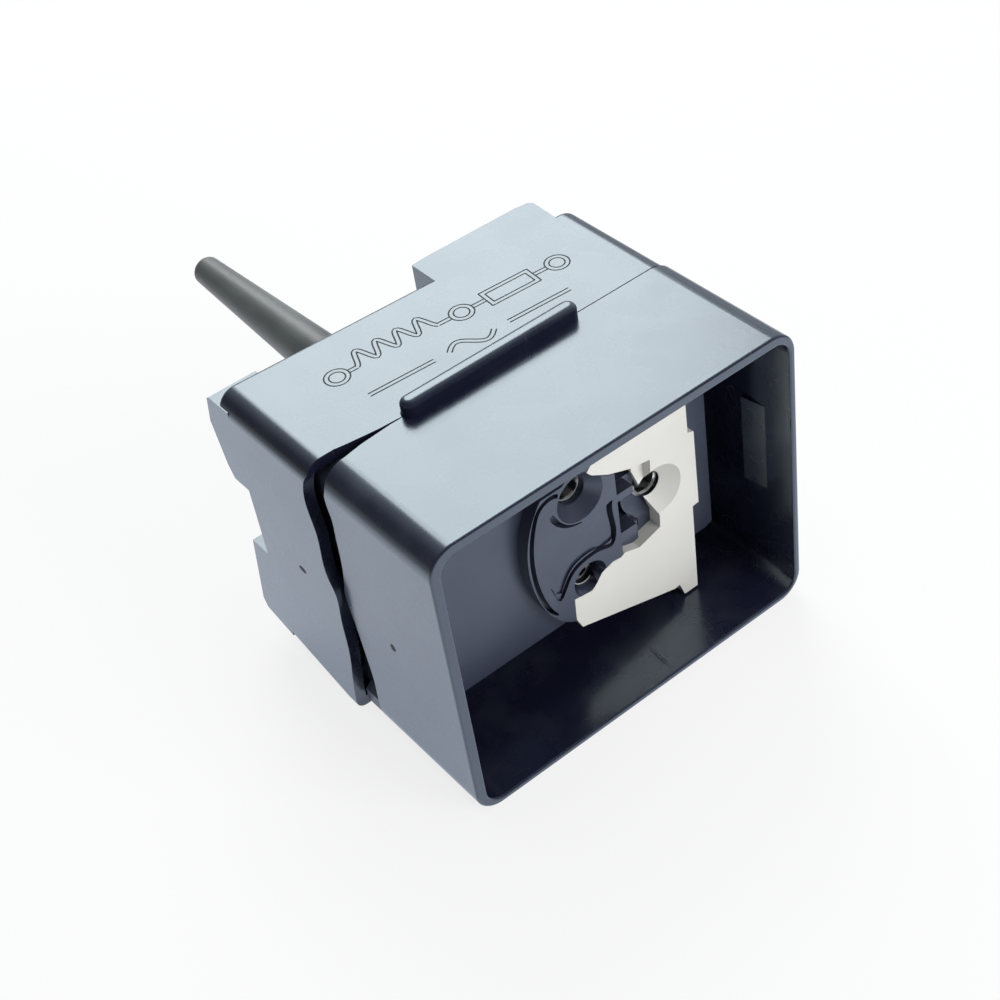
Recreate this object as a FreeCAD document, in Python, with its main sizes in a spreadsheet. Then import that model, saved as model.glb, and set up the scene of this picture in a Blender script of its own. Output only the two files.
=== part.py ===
import FreeCAD, Part
import Sketcher
import math
import os

# Compressor start relay with overload protector, millimetres.
# +Z is up, -Y is the mouth that goes over the compressor's pins, +X is to the right seen from the mouth.
# The origin lies on the flat underside, straight below the plane where the pin sockets begin.

os.makedirs("parts", exist_ok=True)
doc = FreeCAD.newDocument("start_relay")
sheet = doc.addObject("Spreadsheet::Sheet", "sizes")

SIZES = {
    # Front housing
    "housing_width": 50,
    "housing_height": 40.3,
    "housing_corner": 3.3,
    "skirt_wall": 1.1,
    "core_shift": 0.3,
    "mouth_reach": 10,
    "mouth_round": 0.28,
    "seam_reach": 9.3,
    "wave_height": 0.75,
    "ridge_left": 13.6,
    "ridge_length": 24,
    "ridge_width": 2.2,
    "ridge_height": 2,
    "ridge_round": 0.8,
    "wedge_height": 0.5,
    # Rear cover
    "cover_shift": 0.85,
    "cover_corner": 2.4,
    "cover_foot_corner": 1.3,
    "cover_wall": 1.4,
    "seam_gap": 0.15,
    "flat_foot": 14.6,
    "rear_wall": 1.75,
    "rear_slant": 2.45,
    "rear_rise": 2.6,
    "rear_round": 0.6,
    "bay_gap": 4.6,
    "ear_width": 6.35,
    "notch_depth": 1.9,
    "tab_left": 3.5,
    "tab_right": 21.25,
    "tab_overhang": 2.8,
    "tab_thickness": 5,
    "rib_radius": 1.4,
    # Pin sockets
    "pin_pitch": 12.7,
    "pin_radius": 1.6,
    "clip_wall": 0.4,
    "clip_length": 8.5,
    "clip_split": 1.1,
    "clip_clearance": 0.05,
    "clip_set": 0.85,
    "pin_lead": 0.25,
    "barrel_wall": 1.35,
    "barrel_end": 8.3,
    # Carrier
    "face_reach": 1.6,
    "plate_set": 0.2,
    "plate_thickness": 1.5,
    "block_side_gap": 4.7,
    "block_half_height": 13.05,
    "block_corner": 1,
    "block_depth": 7.5,
    "flange_thickness": 1.8,
    "sleeve_clearance": 0.15,
    "sleeve_wall": 1.2,
    "sleeve_reach": 14.5,
    "fit_clearance": 0.1,
    "groove_depth": 1.1,
    "step_depth": 0.25,
    "foot_clearance": 0.35,
    "leg_clearance": 0.15,
    # Relay and protector behind the plate
    "strip_thickness": 0.8,
    "module_end": 19.5,
    "relay_radius": 9.9,
    "relay_bore": 8.6,
    "relay_wall": 1.2,
    "lid_thickness": 1.3,
    "spigot_length": 1.1,
    "disc_radius": 8,
    "disc_thickness": 2.5,
    "spring_thickness": 0.3,
    "spring_width": 5,
    "rivet_radius": 0.9,
    "rivet_head": 0.4,
    "protector_x": 10.5,
    "protector_radius": 10,
    "protector_bore": 8.7,
    "protector_wall": 1.3,
    "contact_radius": 1.5,
    "contact_offset": 6,
    "heater_radius": 5.5,
    "heater_wire": 0.45,
    # Terminals
    "tab_blade": 6.3,
    "blade_overhang": 6.7,
    "slot_clearance": 0.2,
    "line_x": 14.6,
    # Stem
    "stem_x": 9.55,
    "stem_drop": 7.3,
    "stem_root": 3.2,
    "stem_tip": 1.85,
    "stem_end": 59.9,
    "stem_head": 4.3,
    "stem_head_thickness": 1.2,
}

# Where the pieces stand, worked out from the sizes above.
PLACES = {
    "socket_height": "housing_height / 2",
    "left_end": "-housing_width / 2 + housing_corner",
    "bay_depth": "module_end + bay_gap",
    "rear_wall_right": "bay_depth + rear_wall",
    "rear_wall_left": "rear_wall_right + rear_slant",
    "notch_floor": "rear_wall_left - notch_depth",
    "tab_reach": "rear_wall_left + tab_overhang",
    "tab_end": "rear_wall_left + blade_overhang",
    "block_half_width": "housing_width / 2 - block_side_gap",
    "block_bottom": "socket_height - block_half_height",
    "block_top": "socket_height + block_half_height",
    "stem_z": "housing_height - stem_drop",
    "pin_rise": "pin_pitch / 2",
    "start_pin_x": "pin_pitch * sqrt(3) / 2",
    "skirt_floor": "skirt_wall - core_shift",
    "skirt_roof": "housing_height - skirt_wall - core_shift",
    "skirt_left": "-housing_width / 2 + skirt_wall + core_shift",
    "skirt_right": "housing_width / 2 - skirt_wall + core_shift",
    "cover_left": "-housing_width / 2 - cover_shift",
    "cover_right": "housing_width / 2 - cover_shift",
    "cover_front": "seam_reach + seam_gap",
    "plate_back": "plate_set + plate_thickness",
    "clip_outer": "pin_radius + clip_wall",
    "strip_front": "clip_length",
    "module_front": "clip_length + strip_thickness",
    "flange_back": "block_depth + flange_thickness",
    "relay_floor": "module_front + relay_wall",
    "lid_inside": "module_end - spigot_length",
    "protector_floor": "module_front + protector_wall",
    "stem_seat": "bay_depth + 1.2",
}


def fill_sheet(rows, start):
    """Write one group of named values into the sheet."""
    for number, (name, text) in enumerate(rows.items(), start):
        sheet.set(f"A{number}", name)
        sheet.set(f"B{number}", f"={text}" if isinstance(text, str) else str(text))
        sheet.setAlias(f"B{number}", name)
    doc.recompute()


fill_sheet(SIZES, 1)
fill_sheet(PLACES, len(SIZES) + 1)


def value(text):
    """Number that a size, or a sum of sizes, stands for now."""
    if isinstance(text, str):
        return float(sheet.evalExpression(text))
    return float(text)


def full(text):
    """Same expression with the sheet's name before each alias, for use in another object."""
    words = ""
    name = ""
    for letter in str(text) + " ":
        if letter.isalnum() or letter == "_":
            name += letter
            continue
        words += f"sizes.{name}" if name in SIZES or name in PLACES else name
        words += letter
        name = ""
    return words.strip()


def bind(thing, prop, text):
    """Tie a property to the sheet, or set it where it is a plain number."""
    if isinstance(text, str):
        thing.setExpression(prop, full(text))
    else:
        thing.setExpression(prop, str(float(text)))


def new_body(name):
    """Empty body that becomes one piece."""
    body = doc.addObject("PartDesign::Body", name)
    body.Label = name
    return body


def sketch_on(body, name, role, offset):
    """Sketch on one of the body's own planes, moved by the three offsets."""
    sketch = body.newObject("Sketcher::SketchObject", name)
    plane = [item for item in body.Origin.OriginFeatures if item.Role == role][0]
    sketch.AttachmentSupport = [(plane, "")]
    sketch.MapMode = "FlatFace"
    for axis, text in zip("xyz", offset):
        bind(sketch, f"AttachmentOffset.Base.{axis}", text)
    return sketch


def front_sketch(body, name, depth, across=0, up=0):
    """Sketch seen from the mouth: its axes are X and Z, at the given depth."""
    return sketch_on(body, name, "XZ_Plane", (across, up, f"-({depth})"))


def plan_sketch(body, name, height=0, across=0):
    """Sketch seen from above: its axes are X and Y."""
    return sketch_on(body, name, "XY_Plane", (across, 0, height))


def side_sketch(body, name, across=0):
    """Sketch seen from the right: its axes are Y and Z."""
    return sketch_on(body, name, "YZ_Plane", (0, 0, across))


def pin_point(sketch, item, place, x_text, y_text):
    """Hold one point of a sketch at two measured distances from the sketch's origin."""
    for kind, text, axis in (("DistanceX", x_text, -2), ("DistanceY", y_text, -1)):
        number = value(text)
        if abs(number) < 1e-7:
            sketch.addConstraint(Sketcher.Constraint("PointOnObject", item, place, axis))
            continue
        index = sketch.addConstraint(Sketcher.Constraint(kind, -1, 1, item, place, number))
        if isinstance(text, str):
            sketch.setExpression(f"Constraints[{index}]", full(text))


def polygon(sketch, corners):
    """Closed outline with straight sides and bound corners."""
    spots = [FreeCAD.Vector(value(a), value(b), 0) for a, b in corners]
    first = sketch.GeometryCount
    count = len(spots)
    sides = [Part.LineSegment(spots[i], spots[(i + 1) % count]) for i in range(count)]
    sketch.addGeometry(sides, False)
    for i in range(count):
        following = first + (i + 1) % count
        sketch.addConstraint(Sketcher.Constraint("Coincident", first + i, 2, following, 1))
    for i, (a, b) in enumerate(corners):
        pin_point(sketch, first + i, 1, a, b)


def rectangle(sketch, left, right, bottom, top):
    """Closed rectangle between four bound values."""
    polygon(sketch, [(left, bottom), (right, bottom), (right, top), (left, top)])


def rounded_rectangle(sketch, left, right, bottom, top, radius):
    """Closed rectangle with round corners; the sides' ends are bound."""
    x_low, x_high, y_low, y_high, bend = [value(text) for text in (left, right, bottom, top, radius)]
    inset = bend * (1 - math.sqrt(0.5))
    spots = [(x_low + bend, y_low), (x_high - bend, y_low), (x_high - inset, y_low + inset), (x_high, y_low + bend),
             (x_high, y_high - bend), (x_high - inset, y_high - inset), (x_high - bend, y_high),
             (x_low + bend, y_high), (x_low + inset, y_high - inset), (x_low, y_high - bend),
             (x_low, y_low + bend), (x_low + inset, y_low + inset)]
    spots = [FreeCAD.Vector(x, y, 0) for x, y in spots]
    first = sketch.GeometryCount
    pieces = []
    for i in range(0, 12, 3):
        pieces.append(Part.LineSegment(spots[i], spots[i + 1]))
        pieces.append(Part.Arc(spots[i + 1], spots[i + 2], spots[(i + 3) % 12]))
    sketch.addGeometry(pieces, False)
    for i in range(8):
        following = first + (i + 1) % 8
        sketch.addConstraint(Sketcher.Constraint("Coincident", first + i, 2, following, 1))
    ends = [(f"{left} + {radius}", bottom, f"{right} - ({radius})", bottom),
            (right, f"{bottom} + {radius}", right, f"{top} - ({radius})"),
            (f"{right} - ({radius})", top, f"{left} + {radius}", top),
            (left, f"{top} - ({radius})", left, f"{bottom} + {radius}")]
    for side, (x_start, y_start, x_end, y_end) in enumerate(ends):
        pin_point(sketch, first + 2 * side, 1, x_start, y_start)
        pin_point(sketch, first + 2 * side, 2, x_end, y_end)
    for corner in range(4):
        index = sketch.addConstraint(Sketcher.Constraint("Radius", first + 2 * corner + 1, bend))
        sketch.setExpression(f"Constraints[{index}]", full(radius))


def circle(sketch, x_text, y_text, radius):
    """Circle with a bound centre and radius."""
    centre = FreeCAD.Vector(value(x_text), value(y_text), 0)
    shape = Part.Circle(centre, FreeCAD.Vector(0, 0, 1), value(radius))
    item = sketch.addGeometry(shape, False)
    pin_point(sketch, item, 3, x_text, y_text)
    index = sketch.addConstraint(Sketcher.Constraint("Radius", item, value(radius)))
    if isinstance(radius, str):
        sketch.setExpression(f"Constraints[{index}]", full(radius))


def slot(sketch, left, right, middle, radius):
    """Long hole or bar with round ends along the sketch's first axis."""
    low = value(left) + value(radius)
    high = value(right) - value(radius)
    level = value(middle)
    half = value(radius)
    first = sketch.GeometryCount
    spots = [(low, level - half), (high, level - half), (high + half, level), (high, level + half),
             (low, level + half), (low - half, level)]
    a, b, c, d, e, f = [FreeCAD.Vector(x, y, 0) for x, y in spots]
    sketch.addGeometry([Part.LineSegment(a, b), Part.Arc(b, c, d), Part.LineSegment(d, e), Part.Arc(e, f, a)], False)
    for item, start, following in ((0, 2, 1), (1, 2, 2), (2, 2, 3), (3, 2, 0)):
        sketch.addConstraint(Sketcher.Constraint("Coincident", first + item, start, first + following, 1))
    pin_point(sketch, first + 1, 3, f"{right} - ({radius})", middle)
    pin_point(sketch, first + 3, 3, f"{left} + {radius}", middle)


def smooth_outline(sketch, runs):
    """Closed outline made of smooth curves; each run shares its ends with its neighbours."""
    first = sketch.GeometryCount
    for run in runs:
        spots = [FreeCAD.Vector(value(a), value(b), 0) for a, b in run]
        if len(spots) == 2:
            sketch.addGeometry(Part.LineSegment(*spots), False)
            continue
        curve = Part.BSplineCurve()
        curve.interpolate(spots)
        sketch.addGeometry(curve, False)
    for i in range(len(runs)):
        following = first + (i + 1) % len(runs)
        sketch.addConstraint(Sketcher.Constraint("Coincident", first + i, 2, following, 1))


def ribbon(sketch, points, widths):
    """Outline of a groove that follows the points with the given width at each."""
    left = []
    right = []
    for i, (x, y) in enumerate(points):
        ahead = points[min(i + 1, len(points) - 1)]
        behind = points[max(i - 1, 0)]
        along = FreeCAD.Vector(ahead[0] - behind[0], ahead[1] - behind[1], 0).normalize()
        half = widths[i] / 2
        left.append((x - along.y * half, y + along.x * half))
        right.append((x + along.y * half, y - along.x * half))
    right.reverse()
    smooth_outline(sketch, [left, [left[-1], right[0]], right, [right[-1], left[0]]])


def finish(feature):
    """Recompute and make sure the step gave a solid."""
    doc.recompute()
    if "Invalid" in feature.State or feature.Shape.isNull() or not feature.Shape.isValid():
        raise RuntimeError(f"{feature.Name} is not sound: {feature.State}")
    return feature


def pad(body, name, sketch, length, backwards=False, midplane=False):
    """Add material from a sketch; on a front sketch it grows towards the rear unless turned round."""
    feature = body.newObject("PartDesign::Pad", name)
    feature.Profile = sketch
    bind(feature, "Length", length)
    is_front = sketch.AttachmentSupport[0][0].Role == "XZ_Plane"
    feature.Reversed = is_front != backwards
    feature.Midplane = midplane
    sketch.Visibility = False
    return finish(feature)


def pocket(body, name, sketch, length, backwards=False, midplane=False):
    """Take material away from a sketch; on a front sketch it cuts towards the rear unless turned round."""
    feature = body.newObject("PartDesign::Pocket", name)
    feature.Profile = sketch
    before = body.Shape.Volume
    bind(feature, "Length", length)
    feature.Reversed = backwards
    feature.Midplane = midplane
    sketch.Visibility = False
    finish(feature)
    if feature.Shape.Volume > before - 1e-6:
        raise RuntimeError(f"{name} takes nothing away")
    return feature


def turned(body, name, across, height, profile, angle=360):
    """Solid of revolution about an axis along Y; the profile holds radius and depth."""
    sketch = plan_sketch(body, f"{name}_profile", height, across)
    polygon(sketch, profile)
    feature = body.newObject("PartDesign::Revolution", name)
    feature.Profile = sketch
    feature.ReferenceAxis = (sketch, ["V_Axis"])
    feature.Angle = angle
    sketch.Visibility = False
    return finish(feature)


def funnel(body, name, across, height, inner, outer, bottom, length):
    """Conical lead-in whose wide end faces the mouth."""
    feature = body.newObject("PartDesign::SubtractiveCone", name)
    plane = [item for item in body.Origin.OriginFeatures if item.Role == "XZ_Plane"][0]
    feature.AttachmentSupport = [(plane, "")]
    feature.MapMode = "FlatFace"
    for axis, text in zip("xyz", (across, height, f"-({bottom})")):
        bind(feature, f"AttachmentOffset.Base.{axis}", text)
    bind(feature, "Radius1", inner)
    bind(feature, "Radius2", outer)
    bind(feature, "Height", length)
    return finish(feature)


def edges_along(feature, direction, test):
    """Names of straight edges that run in one direction and pass the test on their middle."""
    names = []
    for number, edge in enumerate(feature.Shape.Edges, 1):
        if edge.Curve.TypeId != "Part::GeomLine" or len(edge.Vertexes) < 2:
            continue
        run = (edge.Vertexes[1].Point - edge.Vertexes[0].Point).normalize()
        if abs(run.dot(direction)) > 0.98 and test(edge.CenterOfMass):
            names.append(f"Edge{number}")
    return names


def round_edges(body, name, base, edges, radius):
    """Fillet on the named edges."""
    feature = body.newObject("PartDesign::Fillet", name)
    feature.Base = (base, edges)
    bind(feature, "Radius", radius)
    return finish(feature)


ALONG_Y = FreeCAD.Vector(0, 1, 0)


# Shared outlines

# The white face: corners from the arm's end round by the right-hand rail, the foot and the lower edge.
# Measured from the point midway between the common and the run pin.
FACE_ARM = [(1.3, 9.1), (1.9, 8.35), (4.2, 6.95), (7.15, 5.85)]
FACE_NOTCH = [(10.2, 5.25), (10.1, 3.5), (9.7, -0.15), (10.9, -3.85), (10.8, -5.65)]
FACE_LEDGE = [(8.2, 5.6), (8.3, 3.95), (9.6, 1.6), (9.7, -0.15), (10.9, -3.85), (10.8, -5.65)]
FOOT_LEVEL = "skirt_floor + foot_clearance - socket_height"
FACE_LOWER = [(7.5, -6.65), (5.3, -5.95), (4.7, -6.3), (3.4, -6.15), (1.65, -6.7), (0.85, -7.7), (0.0, -8.4),
              (-2.6, -8.0), (-2.7, -11.25), (-2.0, -12.95), (12.2, f"{FOOT_LEVEL} + 1.95"),
              (13.0, f"{FOOT_LEVEL} + 2.05")]
FACE_RAIL = [(15.95, -5.85), (16.9, -5.75), (16.9, 5.25), (16.0, 5.6), (16.0, 12.85), (5.0, 12.85)]


def face_outline(notch):
    """Whole outline of the white face with one of its two left edges."""
    foot = [(13.7, FOOT_LEVEL), (15.8, FOOT_LEVEL)]
    return FACE_ARM + notch + FACE_LOWER + foot + FACE_RAIL


# Profile of the ragged left ends of the two shells: depth and height.
FRONT_WAVE = [(8.6, 37.5), (8.85, 35.5), (8.5, 33.9), (8.6, 31.3), (8.8, 27.5), (9.75, 22.6), (10.0, 21.6),
              (9.8, 18.9), (9.2, 15.3), (8.8, 12.3), (8.4, 8.3), (8.6, 4.5), (8.6, 2.0)]
COVER_WAVE = [(10.5, 38.9), (11.5, 37.0), (12.0, 34.3), (11.35, 30.0), (11.3, 22.9), (10.85, 22.0), (10.9, 17.4),
              (11.1, 12.0), (12.2, 5.9), (12.9, 1.2)]


# Front housing

def front_housing():
    """Open skirt with the grip ridge on its top."""
    body = new_body("front_housing")
    outline = front_sketch(body, "skirt_outline", "-mouth_reach")
    rounded_rectangle(outline, "-housing_width / 2", "housing_width / 2", 0, "housing_height", "housing_corner")
    pad(body, "skirt", outline, "mouth_reach + seam_reach + wave_height")
    hollow = front_sketch(body, "cavity_outline", "-mouth_reach")
    rounded_rectangle(hollow, "skirt_left", "skirt_right", "skirt_floor", "skirt_roof",
                      "housing_corner - skirt_wall")
    pocket(body, "cavity", hollow, "mouth_reach + seam_reach + wave_height")
    top = plan_sketch(body, "seam_line", "housing_height + 1")
    limit = "seam_reach + wave_height + 1"
    polygon(top, [("left_end", 8.6), ("left_end + 2.3", 9.0), ("left_end + 3.6", 9.1),
                  ("left_end + 6.4", "seam_reach"), ("housing_width / 2 + 1", "seam_reach"),
                  ("housing_width / 2 + 1", limit), ("left_end", limit)])
    pocket(body, "seam_cut", top, "housing_height + 2")
    side = side_sketch(body, "left_end_side", "left_end")
    wave = [(8.6, "housing_height + 1")] + FRONT_WAVE + [(8.6, -1)]
    smooth_outline(side, [wave[:2], FRONT_WAVE, wave[-2:], [(8.6, -1), (limit, -1)],
                          [(limit, -1), (limit, "housing_height + 1")],
                          [(limit, "housing_height + 1"), wave[0]]])
    pocket(body, "left_end_cut", side, "housing_width / 2")
    grip = plan_sketch(body, "ridge_outline", "skirt_roof")
    slot(grip, "-ridge_left", "ridge_length - ridge_left", "seam_reach", "ridge_width / 2")
    ridge = pad(body, "ridge", grip, "housing_height - skirt_roof + ridge_height")
    crest = value("housing_height + ridge_height") - 0.01
    rims = [f"Edge{i}" for i, edge in enumerate(ridge.Shape.Edges, 1) if edge.BoundBox.ZMin > crest]
    round_edges(body, "ridge_top", ridge, rims, "ridge_round")
    ramp = plan_sketch(body, "wedge_outline", "socket_height - 5.95")
    polygon(ramp, [("skirt_right + 0.2", -5.65), ("skirt_right", -5.65), ("skirt_right - wedge_height", -2.3),
                   ("skirt_right + 0.2", -2.3)])
    wedge = pad(body, "snap_wedge", ramp, 12.6)
    rim = mouth_edges(wedge)
    round_edges(body, "mouth_rim", wedge, rim, "mouth_round")
    return body


def mouth_edges(feature):
    """Edges that lie in the plane of the mouth."""
    plane = -value("mouth_reach")
    return [f"Edge{i}" for i, edge in enumerate(feature.Shape.Edges, 1)
            if abs(edge.BoundBox.YMin - plane) < 1e-4 and abs(edge.BoundBox.YMax - plane) < 1e-4]


# Rear cover

def rear_cover():
    """Shell behind the seam, with two ears at its left and a tab at its top."""
    body = new_body("rear_cover")
    side = side_sketch(body, "cover_side", "cover_left")
    polygon(side, [("cover_front", 0), ("flat_foot", 0), ("rear_wall_left", "rear_rise + 0.4"),
                   ("rear_wall_left", "housing_height"), ("cover_front", "housing_height")])
    shell = pad(body, "shell", side, "housing_width")
    upper = edges_along(shell, ALONG_Y, lambda spot: spot.z > value("housing_height") - 0.1)
    rounded = round_edges(body, "top_corners", shell, upper, "cover_corner")
    half_height = value("housing_height / 2")
    lower = [f"Edge{i}" for i, edge in enumerate(rounded.Shape.Edges, 1)
             if is_foot_edge(edge, half_height)]
    rounded = round_edges(body, "foot_corners", rounded, lower, "cover_foot_corner")
    back = plan_sketch(body, "rear_slant", "housing_height + 1")
    polygon(back, [("cover_left - 1", "rear_wall_left"), ("cover_right + 1", "rear_wall_right"),
                   ("cover_right + 1", "rear_wall_left + 5"), ("cover_left - 1", "rear_wall_left + 5")])
    slanted = pocket(body, "rear_wall", back, "housing_height + 2")
    crest = [f"Edge{i}" for i, edge in enumerate(slanted.Shape.Edges, 1)
             if edge.BoundBox.ZMin > value("housing_height") - 0.01 and edge.BoundBox.YMin > 20
             and edge.BoundBox.XLength > 10]
    round_edges(body, "rear_crest", slanted, crest, "rear_round")
    cover_tab(body)
    cover_ears(body)
    cover_hollows(body)
    cover_front_edge(body)
    cover_openings(body)
    cover_ribs(body)
    return body


def is_foot_edge(edge, half_height):
    """True for the long lower edges at the left and right."""
    box = edge.BoundBox
    return box.ZMax < half_height and box.XLength < 0.01 and box.YLength > 2


def cover_tab(body):
    """Flat tab that reaches back from the top."""
    plan = plan_sketch(body, "tab_plan", "housing_height - tab_thickness")
    polygon(plan, [("tab_left", "bay_depth + 0.4"), ("tab_right - 0.25", "bay_depth + 0.4"), ("tab_right", "tab_reach - 1"),
                   ("tab_right - 0.5", "tab_reach - 0.5"), ("tab_right - 2.3", "tab_reach - 0.2"),
                   ("tab_left + 2", "tab_reach"), ("tab_left", "tab_reach - 0.15")])
    pad(body, "top_tab", plan, "tab_thickness")


def cover_ears(body):
    """Upper ear and lower block at the rear left, with the notch between them."""
    side = side_sketch(body, "ear_side", "cover_left")
    ear = [(-2.3, -13.3), (1.0, -13.4), (1.9, -11.7), (3.2, -5.8), (2.3, -2.0), (1.8, -1.6), (-2.3, -1.55)]
    polygon(side, [(f"rear_wall_left + {back}", f"housing_height + {rise}") for back, rise in ear])
    pad(body, "upper_ear", side, "ear_width")
    side = side_sketch(body, "block_side", "cover_left")
    block = [(-2.3, 16.9), (1.4, 17.1), (3.6, 5.5), (3.1, 4.2), (-2.3, 3.0)]
    polygon(side, [(f"rear_wall_left + {back}", height) for back, height in block])
    pad(body, "lower_block", side, "ear_width")
    front = front_sketch(body, "notch_front", "notch_floor")
    rectangle(front, "cover_left - 1", "cover_left + ear_width", 16.9, "housing_height - 13.3")
    pocket(body, "ear_notch", front, 8)


def cover_hollows(body):
    """Inside of the cover, stepped where the underside rises and where the rear wall slants."""
    left = "cover_left + cover_wall"
    right = "cover_right - cover_wall"
    roof = "housing_height - cover_wall"
    steps = [("fore", left, right, "cover_wall", roof, "cover_front - 1", "sleeve_reach - cover_front + 1.1"),
             ("aft", left, right, 4.2, roof, "sleeve_reach", "bay_depth - sleeve_reach"),
             ("ear", left, "cover_left + ear_width - cover_wall", "housing_height - 11.6",
              "housing_height - 3.2", "bay_depth - 0.1", 5),
             ("block", left, "cover_left + ear_width - cover_wall", 5.2, 15.4, "bay_depth - 0.1", 4.5)]
    for name, x_low, x_high, z_low, z_high, start, depth in steps:
        front = front_sketch(body, f"{name}_hollow_front", start)
        rectangle(front, x_low, x_high, z_low, z_high)
        pocket(body, f"{name}_hollow", front, depth)
    plan = plan_sketch(body, "slant_hollow_plan", roof)
    polygon(plan, [("cover_left + ear_width + 1", "bay_depth - 1"), (right, "bay_depth - 1"),
                   (right, "rear_wall_right - cover_wall"),
                   ("cover_left + ear_width + 1", "rear_wall_left - cover_wall - 0.4")])
    pocket(body, "slant_hollow", plan, f"{roof} - 4.6")
    front = front_sketch(body, "stem_seat_front", "stem_seat")
    circle(front, "-stem_x", "stem_z", "stem_head + 0.4")
    pad(body, "stem_seat", front, "rear_wall_left - 1 - stem_seat")


def cover_front_edge(body):
    """Ragged left end that leaves the sleeve bare, and the notch round the ridge."""
    plan = plan_sketch(body, "cover_seam_line", "housing_height + 1")
    polygon(plan, [("left_end + 8.1", "cover_front - 1"), ("left_end + 8.1", "cover_front"),
                   ("left_end + 5.2", 9.65), ("left_end + 1.7", 10.15), ("left_end", 10.45),
                   ("cover_left - 1", 10.5), ("cover_left - 1", "cover_front - 1")])
    pocket(body, "cover_seam_cut", plan, "housing_height + 2")
    side = side_sketch(body, "cover_left_end", "left_end")
    before = "cover_front - 1"
    smooth_outline(side, [[(10.5, "housing_height + 1"), COVER_WAVE[0]], COVER_WAVE,
                          [COVER_WAVE[-1], (12.9, -1)], [(12.9, -1), (before, -1)],
                          [(before, -1), (before, "housing_height + 1")],
                          [(before, "housing_height + 1"), (10.5, "housing_height + 1")]])
    pocket(body, "cover_left_cut", side, "housing_width / 2")
    plan = plan_sketch(body, "ridge_notch_plan", "housing_height + 1")
    slot(plan, "-ridge_left - fit_clearance", "ridge_length - ridge_left + fit_clearance", "seam_reach",
         "ridge_width / 2 + fit_clearance")
    pocket(body, "ridge_notch", plan, "cover_wall + 1.5")


def cover_openings(body):
    """Slots for the three spade tabs and the hole for the stem."""
    gap = "slot_clearance"
    thick = f"strip_thickness / 2 + {gap}"
    wide = f"tab_blade / 2 + {gap}"
    slots = [("line", "-line_x", "socket_height", thick, wide),
             ("run", "0", "socket_height - pin_rise", thick, wide),
             ("start", "start_pin_x", START_BLADE, wide, thick)]
    for name, across, height, half_x, half_z in slots:
        front = front_sketch(body, f"{name}_slot_front", "bay_depth - 1")
        rectangle(front, f"{across} - ({half_x})", f"{across} + {half_x}", f"{height} - ({half_z})",
                  f"{height} + {half_z}")
        pocket(body, f"{name}_slot", front, 8)
    front = front_sketch(body, "stem_hole_front", "bay_depth - 1")
    circle(front, "-stem_x", "stem_z", "stem_root + fit_clearance")
    pocket(body, "stem_hole", front, 8)


def cover_ribs(body):
    """Round ribs that press on the protector's cover and on the relay's lid."""
    front = front_sketch(body, "protector_ribs_front", "module_end + protector_wall + 0.2")
    for x_text, z_text in (("-protector_x - 5.5", "socket_height - 6.5"), ("-protector_x + 6", "socket_height - 5")):
        circle(front, x_text, z_text, "rib_radius")
    pad(body, "protector_ribs", front, "bay_depth + 2.2 - module_end - protector_wall")
    front = front_sketch(body, "relay_ribs_front", "module_end + lid_thickness")
    for z_text in ("socket_height - 5.5", "socket_height + 5.5"):
        circle(front, "start_pin_x + 5", z_text, "rib_radius")
    pad(body, "relay_ribs", front, "bay_depth + 1 - module_end - lid_thickness")


# Socket carrier

SUNK_HEAD = "pin_radius - 0.2"
START_BLADE = "socket_height - relay_radius - 0.25 - strip_thickness / 2"
PINS = {"common": (0, "socket_height + pin_rise"), "run": (0, "socket_height - pin_rise"),
        "start": ("start_pin_x", "socket_height")}
FUNNELS = {"common": 3.3, "run": 2.4, "start": 3.5}


def socket_carrier():
    """Inner moulding: socket block, boss with its grooves, flange and sleeve."""
    body = new_body("socket_carrier")
    front = front_sketch(body, "block_front", "plate_set")
    rounded_rectangle(front, "-block_half_width", "block_half_width", "block_bottom", "block_top", "block_corner")
    pad(body, "block", front, "block_depth - plate_set")
    carrier_flange(body)
    carrier_sleeve(body)
    front = front_sketch(body, "block_hollow_front", "plate_back")
    rectangle(front, "-block_half_width + plate_thickness", "block_half_width - plate_thickness",
              "block_bottom + plate_thickness", "block_top - plate_thickness")
    pocket(body, "block_hollow", front, "flange_back - plate_back")
    front = front_sketch(body, "lower_step_front", "plate_set - 0.5")
    rectangle(front, "-block_half_width - 1", "block_half_width + 1", "block_bottom - 1", "block_bottom + 0.55")
    pocket(body, "lower_step", front, "0.5 + step_depth")
    carrier_boss(body)
    carrier_windows(body)
    carrier_barrels(body)
    carrier_grooves(body)
    carrier_posts(body)
    return body


def carrier_flange(body):
    """Plate round the block that closes the skirt."""
    gap = "sleeve_clearance"
    front = front_sketch(body, "flange_front", "block_depth")
    rounded_rectangle(front, f"skirt_left + {gap}", f"skirt_right - {gap}", f"skirt_floor + {gap}",
                      f"skirt_roof - {gap}", "housing_corner - skirt_wall")
    pad(body, "flange", front, "flange_thickness")


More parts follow.
